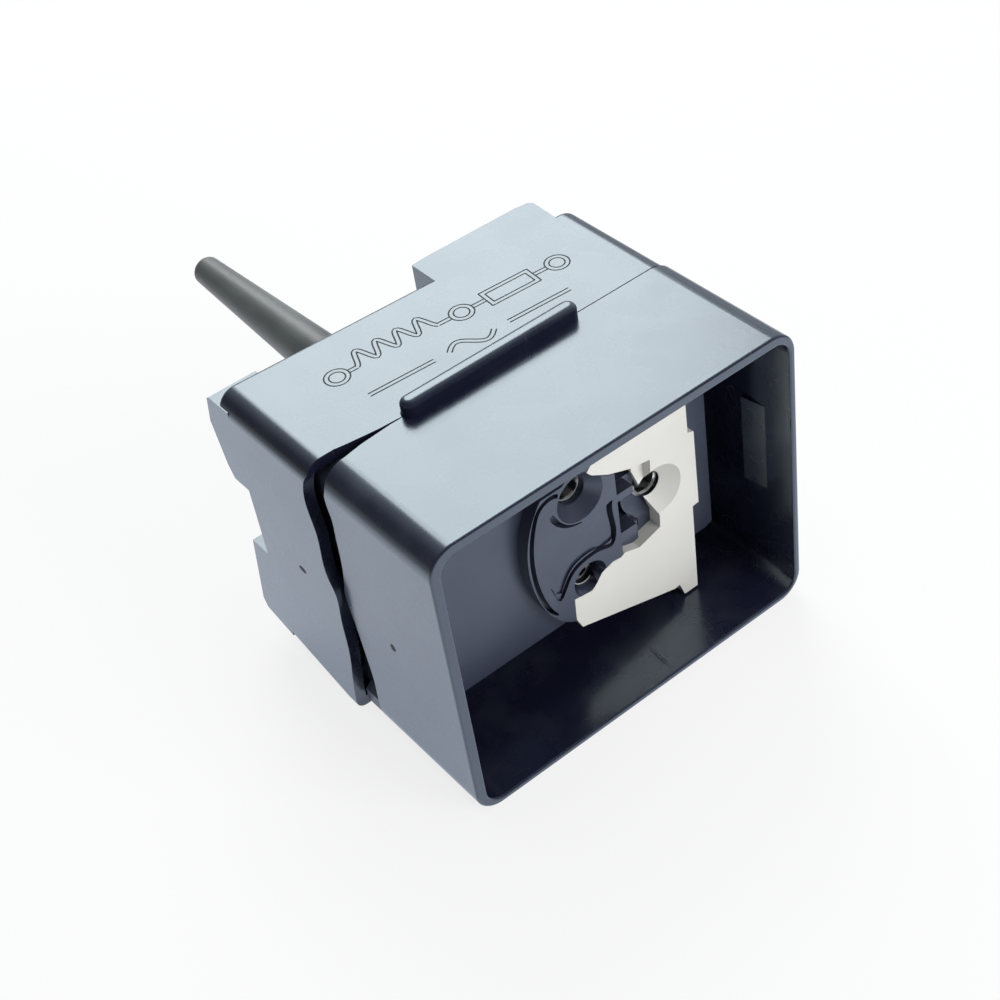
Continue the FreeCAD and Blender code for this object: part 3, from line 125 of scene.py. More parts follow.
class Tree:
    """Shader tree of a material or of the world."""

    def __init__(self, owner: "bpy.types.Material | bpy.types.World", ending: str = "Material") -> None:
        """Empty the owner's tree and keep the kind of its output node.

        Args:
            owner: material or world whose tree this is.
            ending: kind of its output node, Material or World.
        """
        owner.use_nodes = True
        self.graph = owner.node_tree
        self.graph.nodes.clear()
        self.ending = ending

    def node(self, kind: str, settings: dict | None = None, inputs: dict | None = None,
             output: int | str = 0) -> Value:
        """Add a node.

        Args:
            kind: type name of the node.
            settings: its properties, set before the sockets.
            inputs: value or link of each socket, by name or number.
            output: which output is wanted.

        Returns:
            That output.
        """
        made = self.graph.nodes.new(kind)
        for name, setting in (settings or {}).items():
            setattr(made, name, setting)
        for name, content in (inputs or {}).items():
            if isinstance(content, Value):
                self.graph.links.new(content.socket, made.inputs[name])
            else:
                made.inputs[name].default_value = content
        return Value(self, made.outputs[output])

    def end(self, shader: Value) -> None:
        """Join a shader to the output."""
        made = self.graph.nodes.new(f"ShaderNodeOutput{self.ending}")
        self.graph.links.new(shader.socket, made.inputs["Surface"])

    def place(self) -> Value:
        """Return the point on the object, in metres."""
        return self.node("ShaderNodeTexCoord", output="Object")

    def stretched(self, scale: Point) -> Value:
        """Return the point with each direction scaled by itself."""
        return self.node("ShaderNodeVectorMath", {"operation": "MULTIPLY"}, {0: self.place(), 1: scale})

    def noise(self, patch: float, detail: float = 2.0, where: Value | None = None) -> Value:
        """Add soft noise.

        Args:
            patch: size of one patch, in metres.
            detail: octaves.
            where: point to read it at, the object's own point if left out.

        Returns:
            The noise, from 0 to 1.
        """
        return self.node("ShaderNodeTexNoise", inputs={"Vector": where or self.place(), "Scale": 1 / patch,
                                                       "Detail": detail})

    def specks(self, spacing: float, size: float) -> Value:
        """Add a mask of small spots.

        Args:
            spacing: mean distance between spots, in metres.
            size: width of a spot, in metres.

        Returns:
            The mask.
        """
        distance = self.node("ShaderNodeTexVoronoi", inputs={"Vector": self.place(), "Scale": 1 / spacing},
                             output="Distance")
        return distance.step(0.5 * size / spacing, 0.2 * size / spacing)

    def hairlines(self, stretch: Point, width: float, share: float) -> Value:
        """Add a mask of fine scratches.

        Args:
            stretch: scale of each direction, smallest along the scratches.
            width: width of a line as a share of the noise's swing.
            share: noise level above which scratches show.

        Returns:
            The mask.
        """
        bands = self.noise(2.2 * MM, 1.0, self.stretched(stretch))
        patches = self.noise(9 * MM, 2.0)
        return abs(bands - 0.5).step(width, 0.2 * width) * patches.step(share, share + 0.08)

    def upward(self) -> Value:
        """Return how far the surface faces up, from -1 to 1."""
        normal = self.node("ShaderNodeNewGeometry", output="Normal")
        return self.node("ShaderNodeSeparateXYZ", inputs={0: normal}, output="Z")

    def blend(self, factor: Value, first: Value | Colour, second: Value | Colour) -> Value:
        """Return a colour between two, by the factor."""
        ends = [end if isinstance(end, Value) else (*end, 1.0) for end in (first, second)]
        return self.node("ShaderNodeMix", {"data_type": "RGBA"}, {0: factor, 6: ends[0], 7: ends[1]}, 2)

    def bump(self, height: Value, depth: float) -> Value:
        """Return a normal that follows a height from 0 to 1 over a real depth in metres."""
        return self.node("ShaderNodeBump", inputs={"Height": height, "Distance": depth, "Strength": 1.0})

    def surface(self, inputs: dict) -> None:
        """End the tree in a Principled shader."""
        self.end(self.node("ShaderNodeBsdfPrincipled", inputs=inputs))


def new_material(name: str) -> tuple[bpy.types.Material, Tree]:
    """Return a new material and its empty tree."""
    material = bpy.data.materials.new(name)
    return material, Tree(material)


@dataclass(frozen=True)
class MouldedPlastic:
    """Injection moulded plastic: a skin with slight ripple, flow marks, dust and fine scratches.

    Attributes:
        name: name of the material.
        slot: record slot; not used.
        colour: body colour.
        shade: colour of the flow marks.
        tint: colour of the shine.
        roughness: roughness of clean skin.
        shine: specular level.
        coat: weight of the moulded skin's gloss.
        ripple: depth of the ripple.
        grain: depth of the fine texture.
        dust: share of dust on faces that look up.
        wear: strength of the scratches.
    """

    name: str
    slot: Slot
    colour: Colour
    shade: Colour
    tint: Colour = (1.0, 1.0, 1.0)
    roughness: float = 0.3
    shine: float = 0.5
    coat: float = 0.0
    ripple: float = 0.01 * MM
    grain: float = 0.002 * MM
    dust: float = 0.2
    wear: float = 0.5

    def material(self) -> bpy.types.Material:
        """Build the material.

        Returns:
            The material.
        """
        material, tree = new_material(self.name)
        flow = tree.noise(14 * MM, 3.0, tree.stretched((1.0, 0.5, 1.4)))
        smudge = tree.noise(6 * MM, 4.0)
        scratches = tree.hairlines((0.2, 1.0, 0.6), 0.006, 0.5) | tree.hairlines((1.0, 0.25, 0.3), 0.005, 0.55)
        lint = tree.specks(2.6 * MM, 0.16 * MM) * tree.noise(7 * MM).step(0.48, 0.6)
        settled = tree.upward().step(0.3, 0.9) * smudge.step(0.45, 0.75) * self.dust
        base = tree.blend(flow.step(0.35, 0.7), self.colour, self.shade)
        dusty = tree.blend((settled * 0.25) | (lint * self.dust), base, (0.45, 0.45, 0.43))
        worn = tree.blend(scratches * (0.12 * self.wear), dusty, (0.6, 0.62, 0.64))
        height = tree.noise(1.7 * MM, 1.0) * (self.ripple / (self.ripple + self.grain))
        height = height + tree.noise(0.14 * MM, 2.0) * (self.grain / (self.ripple + self.grain))
        height = height - scratches * (0.2 * self.wear)
        rough = self.roughness * 0.85 + smudge * (0.3 * self.roughness) + settled * 0.15
        rough = rough + scratches * (0.15 * self.wear)
        tree.surface({
            "Base Color": worn, "Roughness": rough, "Normal": tree.bump(height, self.ripple + self.grain),
            "Specular IOR Level": self.shine, "Specular Tint": (*self.tint, 1.0), "Coat Weight": self.coat,
            "Coat Roughness": 0.6 * self.roughness, "Coat Tint": (*self.tint, 1.0)})
        return material


@dataclass(frozen=True)
class RubberSkin:
    """Matte elastic skin of the stem, paler where it has been handled.

    Attributes:
        name: name of the material.
        slot: record slot; not used.
        colour: body colour.
        bloom: colour where it is paler.
        roughness: roughness of clean skin.
    """

    name: str
    slot: Slot
    colour: Colour
    bloom: Colour
    roughness: float = 0.62

    def material(self) -> bpy.types.Material:
        """Build the material.

        Returns:
            The material.
        """
        material, tree = new_material(self.name)
        bloom = tree.noise(3.5 * MM, 4.0, tree.stretched((1.0, 0.35, 1.0)))
        grain = tree.noise(0.22 * MM, 3.0)
        specks = tree.specks(0.9 * MM, 0.16 * MM)
        base = tree.blend(bloom.step(0.35, 0.8) * 0.6 | specks * 0.35, self.colour, self.bloom)
        tree.surface({"Base Color": base, "Roughness": self.roughness + 0.12 * bloom,
                      "Normal": tree.bump(grain + 0.4 * specks, 0.02 * MM), "Specular IOR Level": 1.0,
                      "Sheen Weight": 0.35, "Sheen Roughness": 0.5})
        return material


@dataclass(frozen=True)
class StripMetal:
    """Rolled or plated metal strip with drawn lines and dull stains.

    Attributes:
        name: name of the material.
        slot: record slot; not used.
        colour: clean metal.
        stain: dulled metal.
        roughness: roughness of clean metal.
        grain: scale of each direction of the rolling lines, smallest along them.
        metallic: how bare the metal is.
    """

    name: str
    slot: Slot
    colour: Colour
    stain: Colour
    roughness: float = 0.25
    grain: Point = (1.0, 0.06, 1.0)
    metallic: float = 1.0

    def material(self) -> bpy.types.Material:
        """Build the material.

        Returns:
            The material.
        """
        material, tree = new_material(self.name)
        lines = tree.noise(0.12 * MM, 2.0, tree.stretched(self.grain))
        stains = tree.noise(1.8 * MM, 4.0).step(0.48, 0.72)
        pits = tree.specks(0.8 * MM, 0.12 * MM)
        base = tree.blend(stains * 0.7 | pits, self.colour, self.stain)
        tree.surface({"Base Color": base, "Metallic": self.metallic - 0.15 * stains,
                      "Roughness": self.roughness + 0.22 * stains + 0.1 * lines,
                      "Normal": tree.bump(lines - 0.5 * pits, 0.004 * MM)})
        return material


@dataclass(frozen=True)
class SilveredCeramic:
    """Resistor disc: grey fired body with silvered flats.

    Attributes:
        name: name of the material.
        slot: record slot; not used.
        body: colour of the fired body.
        silver: colour of the silvered flats.
    """

    name: str
    slot: Slot
    body: Colour
    silver: Colour

    def material(self) -> bpy.types.Material:
        """Build the material.

        Returns:
            The material.
        """
        material, tree = new_material(self.name)
        normal = tree.node("ShaderNodeNewGeometry", output="Normal")
        across = abs(tree.node("ShaderNodeSeparateXYZ", inputs={0: normal}, output="X"))
        flat = across.step(0.9, 0.97)
        pores = tree.noise(0.25 * MM, 4.0)
        base = tree.blend(flat, tree.blend(pores, self.body, (0.5, 0.48, 0.45)), self.silver)
        tree.surface({"Base Color": base, "Metallic": 0.8 * flat, "Roughness": 0.62 - 0.2 * flat + 0.15 * pores,
                      "Normal": tree.bump(pores, 0.015 * MM)})
        return material


@dataclass(frozen=True)
class PressedPhenolic:
    """Brown thermoset of the protector, with pale filler fibres.

    Attributes:
        name: name of the material.
        slot: record slot; not used.
        colour: body colour.
        fibre: colour of the fibres.
    """

    name: str
    slot: Slot
    colour: Colour
    fibre: Colour

    def material(self) -> bpy.types.Material:
        """Build the material.

        Returns:
            The material.
        """
        material, tree = new_material(self.name)
        fibres = abs(tree.noise(0.5 * MM, 3.0, tree.stretched((1.0, 0.4, 0.7))) - 0.5).step(0.03, 0.0)
        cloud = tree.noise(4 * MM, 3.0)
        base = tree.blend(fibres * 0.45 * cloud, self.colour, self.fibre)
        tree.surface({"Base Color": base, "Roughness": 0.5 + 0.15 * cloud,
                      "Normal": tree.bump(fibres | tree.noise(0.2 * MM), 0.01 * MM)})
        return material


@dataclass(frozen=True)
class MarkedSurface:
    """Plastic that an engraving or a gate has left dull: matte and a little ashy.

    Attributes:
        name: name of the material.
        slot: record slot; not used.
        colour: colour of the dull plastic.
        ash: colour of its palest patches.
        roughness: least roughness.
    """

    name: str
    slot: Slot
    colour: Colour
    ash: Colour
    roughness: float = 0.7

    def material(self) -> bpy.types.Material:
        """Build the material.

        Returns:
            The material.
        """
        material, tree = new_material(self.name)
        burn = tree.noise(0.3 * MM, 4.0)
        tree.surface({"Base Color": tree.blend(burn.step(0.35, 0.75), self.colour, self.ash),
                      "Roughness": self.roughness + 0.2 * burn, "Normal": tree.bump(burn, 0.03 * MM),
                      "Specular IOR Level": 0.35})
        return material


Finish = MouldedPlastic | RubberSkin | StripMetal | SilveredCeramic | PressedPhenolic | MarkedSurface

COOL_SHINE = (0.81, 0.94, 0.99)

HOUSING = MouldedPlastic("housing_skin", Slot.HOUSING, (0.012, 0.012, 0.030), (0.017, 0.017, 0.040), COOL_SHINE,
                         roughness=0.27, shine=1.0, coat=0.6, ripple=0.006 * MM, grain=0.0012 * MM, dust=0.14,
                         wear=0.2)
CARRIER = MouldedPlastic("carrier_skin", Slot.CARRIER, (0.034, 0.036, 0.062), (0.046, 0.050, 0.082), COOL_SHINE,
                         roughness=0.42, shine=1.0, coat=0.25, ripple=0.008 * MM, grain=0.0015 * MM, dust=0.1,
                         wear=0.25)
WHITE = MouldedPlastic("white_face_skin", Slot.FACE, (0.88, 0.87, 0.83), (0.85, 0.84, 0.79), roughness=0.5,
                       ripple=0.01 * MM, grain=0.004 * MM, dust=0.15, wear=0.2)
STEM = RubberSkin("stem_skin", Slot.STEM, (0.034, 0.045, 0.047), (0.125, 0.16, 0.16), 0.38)
CLIP = StripMetal("clip_plating", Slot.CLIP, (0.83, 0.83, 0.82), (0.42, 0.42, 0.42), 0.16)
# Sleeve edges: near white and only half metallic, so they read bright under any lamp; partly the plated edge, partly
# a painted glint.
CLIP_EDGE_GLINT = StripMetal("clip_edge_painted_glint", Slot.CLIP, (0.92, 0.92, 0.91), (0.62, 0.62, 0.62), 0.28, metallic=0.45)
TAB = StripMetal("tab_plating", Slot.TAB, (0.78, 0.68, 0.45), (0.45, 0.36, 0.20), 0.24)
SNAP = StripMetal("snap_strip", Slot.SNAP, (0.62, 0.60, 0.56), (0.36, 0.33, 0.30), 0.28, (0.06, 1.0, 1.0))
SILVER = StripMetal("contact_plating", Slot.CONTACT, (0.88, 0.87, 0.84), (0.40, 0.38, 0.36), 0.2)
DISC = SilveredCeramic("disc_ceramic_body", Slot.DISC, (0.30, 0.29, 0.28), (0.78, 0.78, 0.77))
PHENOLIC = PressedPhenolic("cup_moulding", Slot.CUP, (0.055, 0.032, 0.024), (0.30, 0.22, 0.16))
ENGRAVING = MarkedSurface("engraved_lines", Slot.HOUSING, (0.030, 0.036, 0.038), (0.08, 0.09, 0.09), 0.65)
GATE = MarkedSurface("gate_scar", Slot.HOUSING, (0.006, 0.006, 0.010), (0.07, 0.07, 0.08), 0.5)

NODE_FINISH: dict[str, Finish] = {
    "front_housing": HOUSING, "rear_cover": HOUSING, "socket_carrier": CARRIER, "relay_face": WHITE,
    "rear_stem": STEM, "common_socket_clip": CLIP, "run_socket_clip": CLIP, "start_socket_clip": CLIP,
    "relay_case": WHITE, "relay_lid": WHITE, "ptc_disc": DISC, "start_contact_spring": SNAP,
    "run_contact_spring": SNAP, "start_rivet": TAB, "run_rivet": TAB, "protector_case": PHENOLIC,
    "protector_cover": PHENOLIC, "bimetal_disc": SNAP, "heater_wire": SNAP, "calibration_screw": TAB,
    "upper_moving_contact": SILVER, "lower_moving_contact": SILVER, "upper_fixed_contact": SILVER,
    "lower_fixed_contact": SILVER, "protector_link": TAB, "line_terminal": TAB, "run_terminal": TAB,
    "start_terminal": TAB,
}


class Wardrobe:
    """Makes each material once and hands it out."""

    def __init__(self) -> None:
        """Start with no material made."""
        self.made: dict[str, bpy.types.Material] = {}

    def material(self, finish: Finish) -> bpy.types.Material:
        """Give a finish's material and make it the first time.

        Args:
            finish: finish that is wanted.

        Returns:
            Its material.
        """
        if finish.name not in self.made:
            self.made[finish.name] = finish.material()
        return self.made[finish.name]

    def dress_nodes(self) -> None:
        """Give every CAD node its finish."""
        for name, finish in NODE_FINISH.items():
            for material_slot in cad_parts[name].material_slots:
                material_slot.material = self.material(finish)
            LOG.info("node %s wears %s", name, finish.name)

    def add_piece(self, name: str, mesh: bmesh.types.BMesh, finish: Finish, smooth: bool = True) -> bpy.types.Object:
        """Turn a mesh into a piece that rides on the part.

        Args:
            name: name of the piece.
            mesh: its mesh, which is freed.
            finish: what it is made of.
            smooth: whether its faces are shaded as one curve.

        Returns:
            The new object.
        """
        data = bpy.data.meshes.new(name)
        bmesh.ops.recalc_face_normals(mesh, faces=mesh.faces)
        for face in mesh.faces:
            face.smooth = smooth
        mesh.to_mesh(data)
        mesh.free()
        piece = bpy.data.objects.new(name, data)
        bpy.context.collection.objects.link(piece)
        data.materials.append(self.material(finish))
        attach(piece, "root")
        LOG.info("piece %s: %d faces", name, len(data.polygons))
        return piece


def rings_to_mesh(rings: list[list[Vector]], close_rings: bool, close_loop: bool = False,
                  caps: bool = False) -> bmesh.types.BMesh:
    """Skin a row of rings.

    Args:
        rings: points of each ring, as many in each.
        close_rings: whether a ring's last point joins its first.
        close_loop: whether the last ring joins the first.
        caps: whether the two end rings are filled.

    Returns:
        The mesh.
    """
    mesh = bmesh.new()
    rows = [[mesh.verts.new(point) for point in ring] for ring in rings]
    pairs = list(zip(rows, rows[1:])) + ([(rows[-1], rows[0])] if close_loop else [])
    count = len(rows[0])
    for first, second in pairs:
        for index in range(count if close_rings else count - 1):
            after = (index + 1) % count
            mesh.faces.new((first[index], first[after], second[after], second[index]))
    if caps:
        mesh.faces.new(rows[0])
        mesh.faces.new(list(reversed(rows[-1])))
    return mesh


def tube(points: list[Vector], radii: list[float], sides: int) -> bmesh.types.BMesh:
    """Sweep a round section along points.

    Args:
        points: middle line.
        radii: radius at each point.
        sides: points round the section.

    Returns:
        The mesh, with filled ends.
    """
    rings = []
    for index, (point, radius) in enumerate(zip(points, radii)):
        ahead = points[min(index + 1, len(points) - 1)]
        behind = points[max(index - 1, 0)]
        along = (ahead - behind).normalized()
        side = along.cross(Vector((0, 0, 1)))
        side = (side if side.length > 0.01 else along.cross(Vector((0, 1, 0)))).normalized()
        up = side.cross(along)
        turns = [math.tau * step / sides for step in range(sides)]
        rings.append([point + side * radius * math.cos(turn) + up * radius * math.sin(turn) for turn in turns])
    return rings_to_mesh(rings, close_rings=True, caps=True)


def join(target: bmesh.types.BMesh, mesh: bmesh.types.BMesh) -> None:
    """Add a mesh to another and free it.

    Args:
        target: mesh that grows.
        mesh: mesh that is added.
    """
    data = bpy.data.meshes.new("part")
    mesh.to_mesh(data)
    mesh.free()
    target.from_mesh(data)
    bpy.data.meshes.remove(data)


@dataclass
class PinClips:
    """Rolled lips at the front of the three split sleeves that grip the pins.

    Attributes:
        wardrobe: materials.
        bore: inner radius of the sleeves.
        lip: how far the lip rolls outward.
        half_split: half the angle that the split leaves open, in degrees.
        sides: steps round the lip.
        curl_steps: steps over the lip's curl.
        curl: angle over which the lip rolls, in degrees.
        thickness: thickness of the rolled strip.
        splits: direction of each sleeve's split, in degrees from +X towards +Z.
    """

    wardrobe: Wardrobe
    bore: float = 1.6 * MM
    lip: float = 0.16 * MM
    half_split: float = 20.0
    sides: int = 40
    curl_steps: int = 8
    curl: float = 200.0
    thickness: float = 0.06 * MM
    splits: tuple[tuple[str, float], ...] = (("common", 100.0), ("run", 250.0), ("start", 150.0))

    def lip_mesh(self, middle: Vector, split: float) -> bmesh.types.BMesh:
        """Roll one lip round a sleeve's mouth, open at the split.

        Args:
            middle: middle of the mouth.
            split: direction of the split, in degrees from +X towards +Z.

        Returns:
            The lip.
        """
        roll = self.lip / 2
        profile = []
        for step in range(self.curl_steps + 1):
            turn = math.radians(self.curl) * step / self.curl_steps
            profile.append((self.bore + roll - roll * math.cos(turn), -roll * math.sin(turn)))
        rings = []
        for step in range(self.sides + 1):
            angle = math.radians(split + self.half_split + (360 - 2 * self.half_split) * step / self.sides)
            rings.append([middle + Vector((reach * math.cos(angle), depth, reach * math.sin(angle)))
                          for reach, depth in profile])
        mesh = rings_to_mesh(rings, close_rings=False)
        bmesh.ops.solidify(mesh, geom=mesh.faces[:], thickness=self.thickness)
        return mesh

    def build(self) -> None:
        """Add the three lips."""
        for name, split in self.splits:
            low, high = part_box(f"{name}_socket_clip")
            middle = Vector(((low[0] + high[0]) / 2, low[1], (low[2] + high[2]) / 2))
            # The lips wear the sleeve-edge colour: real rolled lips carrying a painted glint.
            self.wardrobe.add_piece(f"{name}_clip_lip", self.lip_mesh(middle, split), CLIP_EDGE_GLINT)


@dataclass
class SocketEdges:
    """Thin black walls of the inner moulding beside the white face, and the run clip's edge, coloured near white as a
    painted glint.

    Attributes:
        wardrobe: materials.
        axis: middle of the run socket, across and up.
        block_level: height of the start socket's middle.
        way: radius that stays free for the pin.
        front: depth of the wall's front edge, at the white face's front.
        bottom: depth of its edge at the clip.
        back: depth of its rear edge.
        white_edge: outline of the white face beside the socket, across and up from the socket's middle.
        block: outline of the stepped block beside the white face, across and up from the start socket's middle.
        block_steps: depth of each ring of the block, and its share of the outline.
        edge_reach: radius of the clip's edge, which carries the painted glint.
        edge_radius: half its thickness.
        edge_angles: where its arc starts and ends, in degrees.
    """

    wardrobe: Wardrobe
    axis: tuple[float, float] = (0.0, 13.8)
    block_level: float = 20.15
    way: float = 1.64
    front: float = -1.59
    bottom: float = -0.1
    back: float = 0.18
    white_edge: tuple[tuple[float, float], ...] = (
        (2.9, 0.08), (2.3, -0.06), (1.75, -0.28), (1.6, -0.42), (1.2, -0.92), (0.85, -1.32), (0.45, -1.7),
        (0.0, -1.98), (-0.6, -1.96), (-1.3, -1.86), (-1.9, -1.75))
    block: tuple[tuple[float, float], ...] = (
        (5.25, -5.8), (6.3, -6.2), (7.4, -6.53), (8.3, -6.3), (8.35, -3.4), (7.2, -3.1), (5.2, -3.3))
    block_steps: tuple[tuple[float, float], ...] = ((0.19, 1.0), (-0.45, 1.0), (-0.6, 0.94))
    edge_reach: float = 1.57
    edge_radius: float = 0.075 * MM
    edge_angles: tuple[int, int] = (205, 331)

    def point(self, across: float, depth: float, up: float) -> Vector:
        """Return a point given in millimetres from the run socket's middle."""
        return Vector((self.axis[0] + across, depth, self.axis[1] + up)) * MM

    def wall_mesh(self) -> bmesh.types.BMesh:
        """Skin the slanted wall between the white face and the pin's way.

        Returns:
            The wall.
        """
        rings = []
        for across, up in self.white_edge:
            reach = math.hypot(across, up)
            inward = self.way / reach
            shy = 1 - 0.03 / reach
            rings.append([self.point(across * shy, self.front, up * shy),
                          self.point(across * inward, self.bottom, up * inward),
                          self.point(across * shy, self.back, up * shy)])
        return rings_to_mesh(rings, close_rings=True, caps=True)

    def block_mesh(self) -> bmesh.types.BMesh:
        """Make the low block at the foot of the white face's wall, bevelled round its front.

        Returns:
            The block.
        """
        across, up = (sum(values) / len(self.block) for values in zip(*self.block))
        rings = []
        for depth, share in self.block_steps:
            ring = [(across + (x - across) * share, up + (z - up) * share) for x, z in self.block]
            rings.append([Vector((x, depth, self.block_level + z)) * MM for x, z in ring])
        return rings_to_mesh(rings, close_rings=True, caps=True)

    def edge_mesh(self) -> bmesh.types.BMesh:
        """Make the run clip's edge, an arc low in the hole coloured as a painted glint.

        Returns:
            The edge.
        """
        first, last = self.edge_angles
        points = []
        for degrees in range(first, last + 1, 7):
            across, up = (self.edge_reach * turn(math.radians(degrees)) for turn in (math.cos, math.sin))
            points.append(self.point(across, self.bottom - 0.08, up))
        return tube(points, [self.edge_radius] * len(points), 8)

    def build(self) -> None:
        """Add the wall, the block and the clip's edge with its painted glint."""
        self.wardrobe.add_piece("run_socket_wall", self.wall_mesh(), CARRIER)
        self.wardrobe.add_piece("face_foot_block", self.block_mesh(), CARRIER, smooth=False)
        self.wardrobe.add_piece("run_clip_edge_glint", self.edge_mesh(), CLIP_EDGE_GLINT)


@dataclass
class HousingMarks:
    """Small traces of moulding on the two shells: gate scars, flash at the rim and a knit line.

    Attributes:
        wardrobe: materials.
        front_gate: depth and height of the front housing's gate on its left side.
        cover_gate: the same of the rear cover's.
        gate_radius: radius of a gate.
        knit_start: first end of the knit line on the skirt's floor.
        knit_end: its other end.
        rim_flashes: top and bottom of each thread of flash on the skirt's right wall, in millimetres.
        rim_depth: depth of those threads, just behind the rim.
        rim_inset: how far the wall's inside lies from the part's right side.
        flash: half thickness of a thread.
    """

    wardrobe: Wardrobe
    front_gate: tuple[float, float] = (1.5 * MM, 19.05 * MM)
    cover_gate: tuple[float, float] = (17.6 * MM, 20.4 * MM)
    gate_radius: float = 0.55 * MM
    knit_start: Point = (4.6 * MM, -9.5 * MM, 1.13 * MM)
    knit_end: Point = (4.9 * MM, -4.0 * MM, 1.13 * MM)
    rim_flashes: tuple[tuple[float, float], ...] = ((27.5, 25.2), (10.9, 9.5))
    rim_depth: float = -9.8 * MM
    rim_inset: float = 0.84 * MM
    flash: float = 0.09 * MM

    def scar_mesh(self, middle: Vector, long: float, high: float) -> bmesh.types.BMesh:
        """Make a snapped gate: a low ragged button on a face that looks to -X.

        Args:
            middle: point on the face.
            long: half length along Y.
            high: half height along Z.

        Returns:
            The mesh.
        """
        chance = random.Random(SEED + round(middle.y / MM))
        profile = ((1.0, -0.01), (0.86, 0.018), (0.6, 0.024), (0.32, 0.008), (0.12, 0.02))
        rings = []
        for reach, rise in profile:
            ring = []
            for step in range(28):
                turn = math.tau * step / 28
                ragged = reach * chance.uniform(0.86, 1.08)
                depth = rise * MM * chance.uniform(0.7, 1.1)
                ring.append(middle + Vector((-depth, long * ragged * math.cos(turn), high * ragged * math.sin(turn))))
            rings.append(ring)
        return rings_to_mesh(rings, close_rings=True, caps=True)

    def burr_mesh(self, start: Vector, end: Vector, width: float) -> bmesh.types.BMesh:
        """Make a ragged thread of flash between two points.

        Args:
            start: first point.
            end: last point.
            width: largest radius of the thread.

        Returns:
            The thread.
        """
        chance = random.Random(SEED)
        points = []
        radii = []
        for step in range(15):
            share = step / 14
            stray = Vector((chance.uniform(-1, 1), 0, chance.uniform(-1, 1))) * 0.04 * MM
            points.append(start.lerp(end, share) + stray)
            radii.append(width * math.sin(math.pi * min(max(share, 0.06), 0.94)) * chance.uniform(0.5, 1.0))
        return tube(points, radii, 6)

    def build(self) -> None:
        """Add the scars, the flash and the knit line."""
        front_low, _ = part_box("front_housing")
        cover_low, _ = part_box("rear_cover")
        scars = (("front_gate_scar", front_low[0], self.front_gate, 1.0, 1.0),
                 ("cover_gate_scar", cover_low[0], self.cover_gate, 1.5, 0.8))
        for name, side, (depth, height), long, high in scars:
            middle = Vector((side, depth, height))
            mesh = self.scar_mesh(middle, self.gate_radius * long, self.gate_radius * high)
            self.wardrobe.add_piece(name, mesh, GATE)
        knit = self.burr_mesh(Vector(self.knit_start), Vector(self.knit_end), self.flash)
        self.wardrobe.add_piece("floor_knit_line", knit, HOUSING)
        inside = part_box("front_housing")[1][0] - self.rim_inset
        for number, heights in enumerate(self.rim_flashes, 1):
            start, end = (Vector((inside, self.rim_depth, height * MM)) for height in heights)
            self.wardrobe.add_piece(f"rim_flash_{number}", self.burr_mesh(start, end, self.flash), HOUSING)


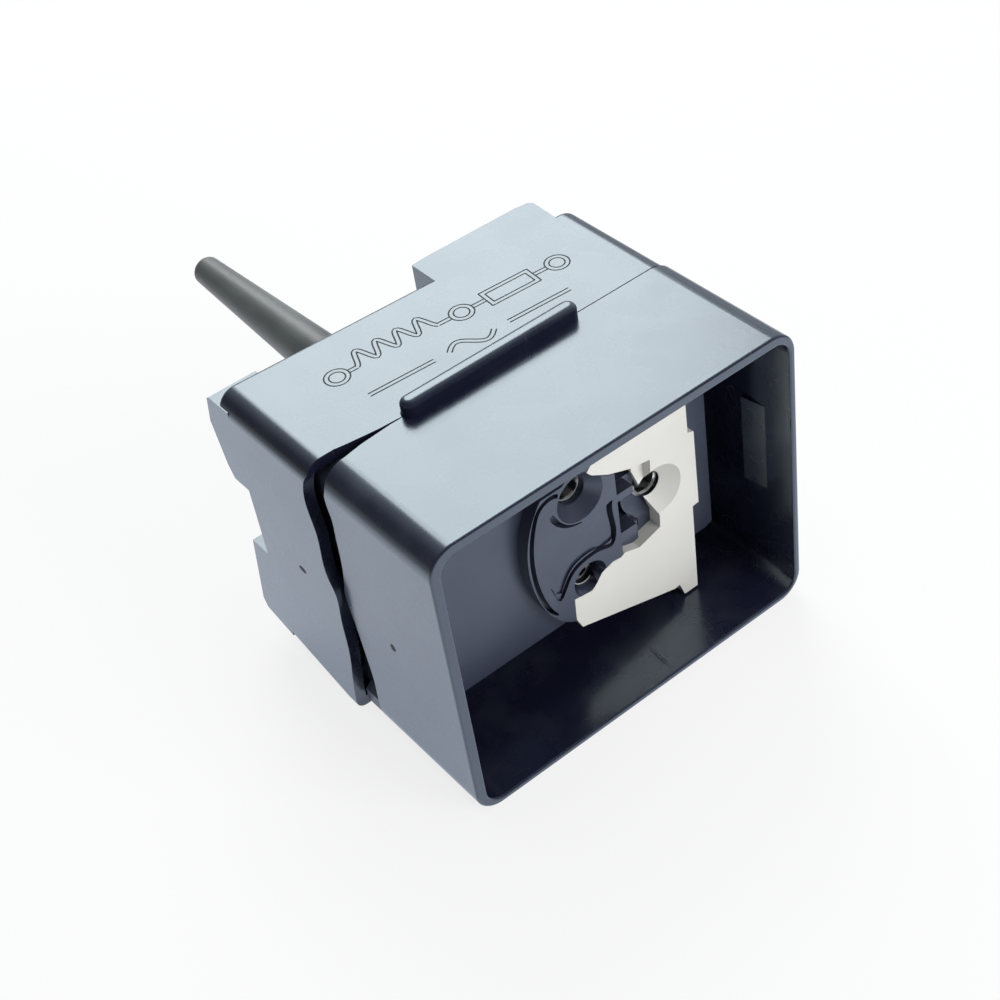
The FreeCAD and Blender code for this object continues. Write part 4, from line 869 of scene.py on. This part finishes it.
@dataclass
class WiringSketch:
    """Plain sketch engraved on the cover's top: terminals, a winding, a resistor and a wave.

    Attributes:
        wardrobe: materials.
        middle: middle of the sketch on the top face.
        second: middle of the line with the wave.
        slope: turn of the lines, in degrees.
        line: radius of an engraved line.
        stroke: distance between the two lines of a stroke.
        ring: radius of a terminal's ring.
        turn: radius of one turn of the winding.
        turns: number of turns.
        resistor: half length and half height of the resistor.
        ends: places of the three terminals along the sketch.
        wave: half length and half height of the wave.
        dash: near and far end of the dash on each side of the wave.
        relief: height of a line as a share of its width.
    """

    wardrobe: Wardrobe
    middle: tuple[float, float] = (0.3 * MM, 19.3 * MM)
    second: tuple[float, float] = (-0.5 * MM, 14.2 * MM)
    slope: float = -3.4
    line: float = 0.09 * MM
    stroke: float = 0.56 * MM
    ring: float = 1.5 * MM
    turn: float = 1.35 * MM
    turns: int = 4
    resistor: tuple[float, float] = (3.4 * MM, 1.5 * MM)
    ends: tuple[float, float, float] = (-15.0 * MM, 1.6 * MM, 15.0 * MM)
    wave: tuple[float, float] = (3.0 * MM, 1.0 * MM)
    dash: tuple[float, float] = (5.0 * MM, 13.5 * MM)
    relief: float = 0.35

    def trace(self, points: list[tuple[float, float]]) -> list[bmesh.types.BMesh]:
        """Trace a stroke as two fine lines beside its middle line.

        Args:
            points: middle line, across and along the sketch.

        Returns:
            The two lines.
        """
        spots = [Vector((across, along, 0)) for across, along in points]
        lines = []
        for side in (-0.5, 0.5):
            moved = []
            for index, spot in enumerate(spots):
                ahead = spots[min(index + 1, len(spots) - 1)] - spots[max(index - 1, 0)]
                moved.append(spot + Vector((-ahead.y, ahead.x, 0)).normalized() * self.stroke * side)
            lines.append(tube(moved, [self.line] * len(moved), 6))
        return lines

    def ring_mesh(self, across: float, radius: float) -> bmesh.types.BMesh:
        """Trace one engraved ring.

        Args:
            across: place of its middle along the sketch.
            radius: its radius.

        Returns:
            The ring.
        """
        rings = []
        for step in range(36):
            angle = math.tau * step / 36
            out = Vector((math.cos(angle), math.sin(angle), 0))
            rings.append([Vector((across, 0, self.line * math.sin(math.tau * side / 6)))
                          + out * (radius + self.line * math.cos(math.tau * side / 6)) for side in range(6)])
        return rings_to_mesh(rings, close_rings=True, close_loop=True)

    def winding(self, start: float) -> list[tuple[float, float]]:
        """Draw the middle line of the winding, a row of humps.

        Args:
            start: place along the sketch where it begins.

        Returns:
            The line's points.
        """
        steps = 14 * self.turns
        return [(start + 2 * self.turn * self.turns * step / steps,
                 self.turn * (1 - math.cos(math.tau * self.turns * step / steps))) for step in range(steps + 1)]

    def frame_mesh(self, across: float, long: float, high: float) -> bmesh.types.BMesh:
        """Trace a rectangle.

        Args:
            across: place of its middle along the sketch.
            long: its half length.
            high: its half height.

        Returns:
            Its four lines.
        """
        round_trip = ((-1, -1), (1, -1), (1, 1), (-1, 1), (-1, -1))
        corners = [Vector((across + x * long, y * high, 0)) for x, y in round_trip]
        mesh = bmesh.new()
        for first, last in zip(corners, corners[1:]):
            join(mesh, tube([first, last], [self.line] * 2, 6))
        return mesh

    def add_line(self, name: str, meshes: list[bmesh.types.BMesh], middle: tuple[float, float]) -> None:
        """Lay some traced meshes on the top as one piece.

        Args:
            name: name of the piece.
            meshes: its meshes, which are freed.
            middle: its middle on the top face.
        """
        joined = bmesh.new()
        for mesh in meshes:
            join(joined, mesh)
        place = Matrix.Translation((*middle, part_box("rear_cover")[1][2]))
        turned = Matrix.Rotation(math.radians(self.slope), 4, "Z") @ Matrix.Diagonal((1, 1, self.relief, 1))
        bmesh.ops.transform(joined, matrix=place @ turned, verts=joined.verts)
        self.wardrobe.add_piece(name, joined, ENGRAVING)

    def build(self) -> None:
        """Add the sketch and the wave."""
        ends = self.ends
        start = ends[0] + self.ring + 1.1 * MM
        half_long, half_high = self.resistor
        resistor = (ends[1] + ends[2]) / 2
        meshes = [self.ring_mesh(end, self.ring - inset) for end in ends for inset in (0, self.stroke)]
        meshes += self.trace(self.winding(start))
        meshes += [self.frame_mesh(resistor, half_long - inset, half_high - inset) for inset in (0, self.stroke)]
        leads = [(ends[0] + self.ring, start), (start + 2 * self.turns * self.turn, ends[1] - self.ring),
                 (ends[1] + self.ring, resistor - half_long), (resistor + half_long, ends[2] - self.ring)]
        for first, last in leads:
            meshes += self.trace([(first, 0), (last, 0)])
        self.add_line("wiring_sketch", meshes, self.middle)
        long, high = self.wave
        meshes = self.trace([((step / 12 - 1) * long, high * math.sin(step / 24 * math.tau)) for step in range(25)])
        for side in (-1, 1):
            meshes += self.trace([(side * reach, 0) for reach in self.dash])
        self.add_line("wave_sign", meshes, self.second)


@dataclass
class Studio:
    """Floor, world and lamps.

    Attributes:
        reach: half width of the floor.
        shadow_share: how much of the shadow the camera sees on the floor.
        mirrored_share: how much of the floor's own glow the part's gloss shows.
        floor_tone: colour of that glow near the part.
        lit_floor: distances at which the glow ends and is full.
        bright_side: direction in which the sky grows brighter.
        dark_sky: its colour on the other side.
        bright_sky: its colour on the bright side.
    """

    reach: float = 6.0
    shadow_share: float = 0.2
    mirrored_share: float = 0.55
    floor_tone: Colour = (1.14, 1.19, 1.40)
    lit_floor: tuple[float, float] = (0.17, 0.08)
    bright_side: Point = (0.5, 0.35, 0.4)
    dark_sky: Colour = (0.10, 0.103, 0.10)
    bright_sky: Colour = (0.62, 0.65, 0.68)

    def floor(self) -> bpy.types.Object:
        """Lay the pale floor under the part.

        Returns:
            The floor.
        """
        mesh = bmesh.new()
        bmesh.ops.create_grid(mesh, x_segments=8, y_segments=8, size=self.reach)
        bmesh.ops.translate(mesh, verts=mesh.verts, vec=(0, 0, -0.02 * MM))
        data = bpy.data.meshes.new("floor")
        mesh.to_mesh(data)
        mesh.free()
        floor = bpy.data.objects.new("floor", data)
        bpy.context.collection.objects.link(floor)
        data.materials.append(self.floor_material())
        return floor

    def floor_material(self) -> bpy.types.Material:
        """Make white that still takes the part's shadow.

        Returns:
            The floor's material.
        """
        material, tree = new_material("pale_floor")
        rays = [tree.node("ShaderNodeLightPath", output=name)
                for name in ("Is Camera Ray", "Is Glossy Ray", "Is Transmission Ray")]
        seen = rays[0] | rays[1] | rays[2]
        paper = tree.node("ShaderNodeBsdfDiffuse", inputs={"Color": (0.9, 0.9, 0.9, 1.0)})
        distance = tree.node("ShaderNodeVectorMath", {"operation": "LENGTH"}, {0: tree.place()}, "Value")
        near = tree.blend(distance.step(*self.lit_floor), self.dark_sky, self.floor_tone)
        glow = tree.node("ShaderNodeEmission", inputs={"Color": tree.blend(rays[0], near, (1.0, 1.0, 1.0)),
                                                       "Strength": 1.0})
        share = (1 - self.shadow_share) * rays[0] + self.mirrored_share * (1 - rays[0])
        backdrop = tree.node("ShaderNodeMixShader", inputs={0: share, 1: paper, 2: glow})
        tree.end(tree.node("ShaderNodeMixShader", inputs={0: seen, 1: paper, 2: backdrop}))
        return material

    def world(self) -> None:
        """Set a soft sky that is brighter overhead, behind and to the right."""
        sky = bpy.data.worlds.new("sky")
        bpy.context.scene.world = sky
        tree = Tree(sky, "World")
        direction = tree.node("ShaderNodeTexCoord", output="Generated")
        towards = tree.node("ShaderNodeVectorMath", {"operation": "DOT_PRODUCT"},
                            {0: direction, 1: self.bright_side}, "Value")
        sky_tone = tree.blend(towards.step(0.1, 0.7), self.dark_sky, self.bright_sky)
        camera_ray = tree.node("ShaderNodeLightPath", output="Is Camera Ray")
        colour = tree.blend(camera_ray, sky_tone, (1.0, 1.0, 1.0))
        tree.end(tree.node("ShaderNodeBackground", inputs={"Color": colour, "Strength": 1.0}))

    def lamp(self, name: str, towards: Point, distance: float, size: tuple[float, float], radiance: float,
             mirrored: bool = True) -> None:
        """Add one soft box.

        Args:
            name: name of the lamp.
            towards: direction from the part to the lamp.
            distance: how far away it is.
            size: its width and height.
            radiance: brightness of its face, where white paper in full light is 1.
            mirrored: whether glossy surfaces show it.
        """
        data = bpy.data.lights.new(name, "AREA")
        data.shape = "RECTANGLE"
        data.size, data.size_y = size
        data.energy = radiance * math.pi * size[0] * size[1]
        aim = Vector((0, 0.01, 0.02))
        out = Vector(towards).normalized()
        lamp = bpy.data.objects.new(name, data)
        lamp.location = aim + out * distance
        lamp.rotation_euler = out.to_track_quat("Z", "Y").to_euler()
        lamp.visible_glossy = mirrored
        bpy.context.collection.objects.link(lamp)

    def build(self) -> None:
        """Set up the whole studio."""
        self.floor()
        self.world()
        self.lamp("rear_softbox", (0.345, 0.63, 0.69), 0.55, (0.29, 0.32), 4.9)
        self.lamp("front_softbox", (0.35, -0.9, 0.42), 0.6, (0.34, 0.3), 6.6, mirrored=False)
        self.lamp("top_softbox", (-0.1, 0.05, 1.0), 0.7, (0.5, 0.5), 1.6, mirrored=False)


@dataclass
class Viewpoint:
    """Camera of the photograph.

    Attributes:
        place: where it stands.
        turn: its turn about X, Y and Z, in degrees.
        lens: focal length in millimetres, on a sensor 36 mm wide.
    """

    place: Point = (-0.08438, -0.12119, 0.16051)
    turn: Point = (47.40, 7.30, -38.457)
    lens: float = 64.9

    def build(self) -> None:
        """Add the camera and look through it."""
        data = bpy.data.cameras.new("camera")
        data.lens = self.lens
        data.sensor_width = 36.0
        data.clip_start = 0.005
        data.clip_end = 30.0
        camera = bpy.data.objects.new("camera", data)
        camera.location = self.place
        camera.rotation_euler = Euler([math.radians(angle) for angle in self.turn], "XYZ")
        bpy.context.collection.objects.link(camera)
        bpy.context.scene.camera = camera


def main() -> None:
    """Build the looks in order."""
    logging.basicConfig(level=logging.INFO, format="%(name)s %(message)s")
    bpy.context.scene.view_settings.view_transform = "Standard"
    wardrobe = Wardrobe()
    wardrobe.dress_nodes()
    PinClips(wardrobe).build()
    SocketEdges(wardrobe).build()
    HousingMarks(wardrobe).build()
    WiringSketch(wardrobe).build()
    Studio().build()
    Viewpoint().build()


if __name__ == "__main__":
    main()
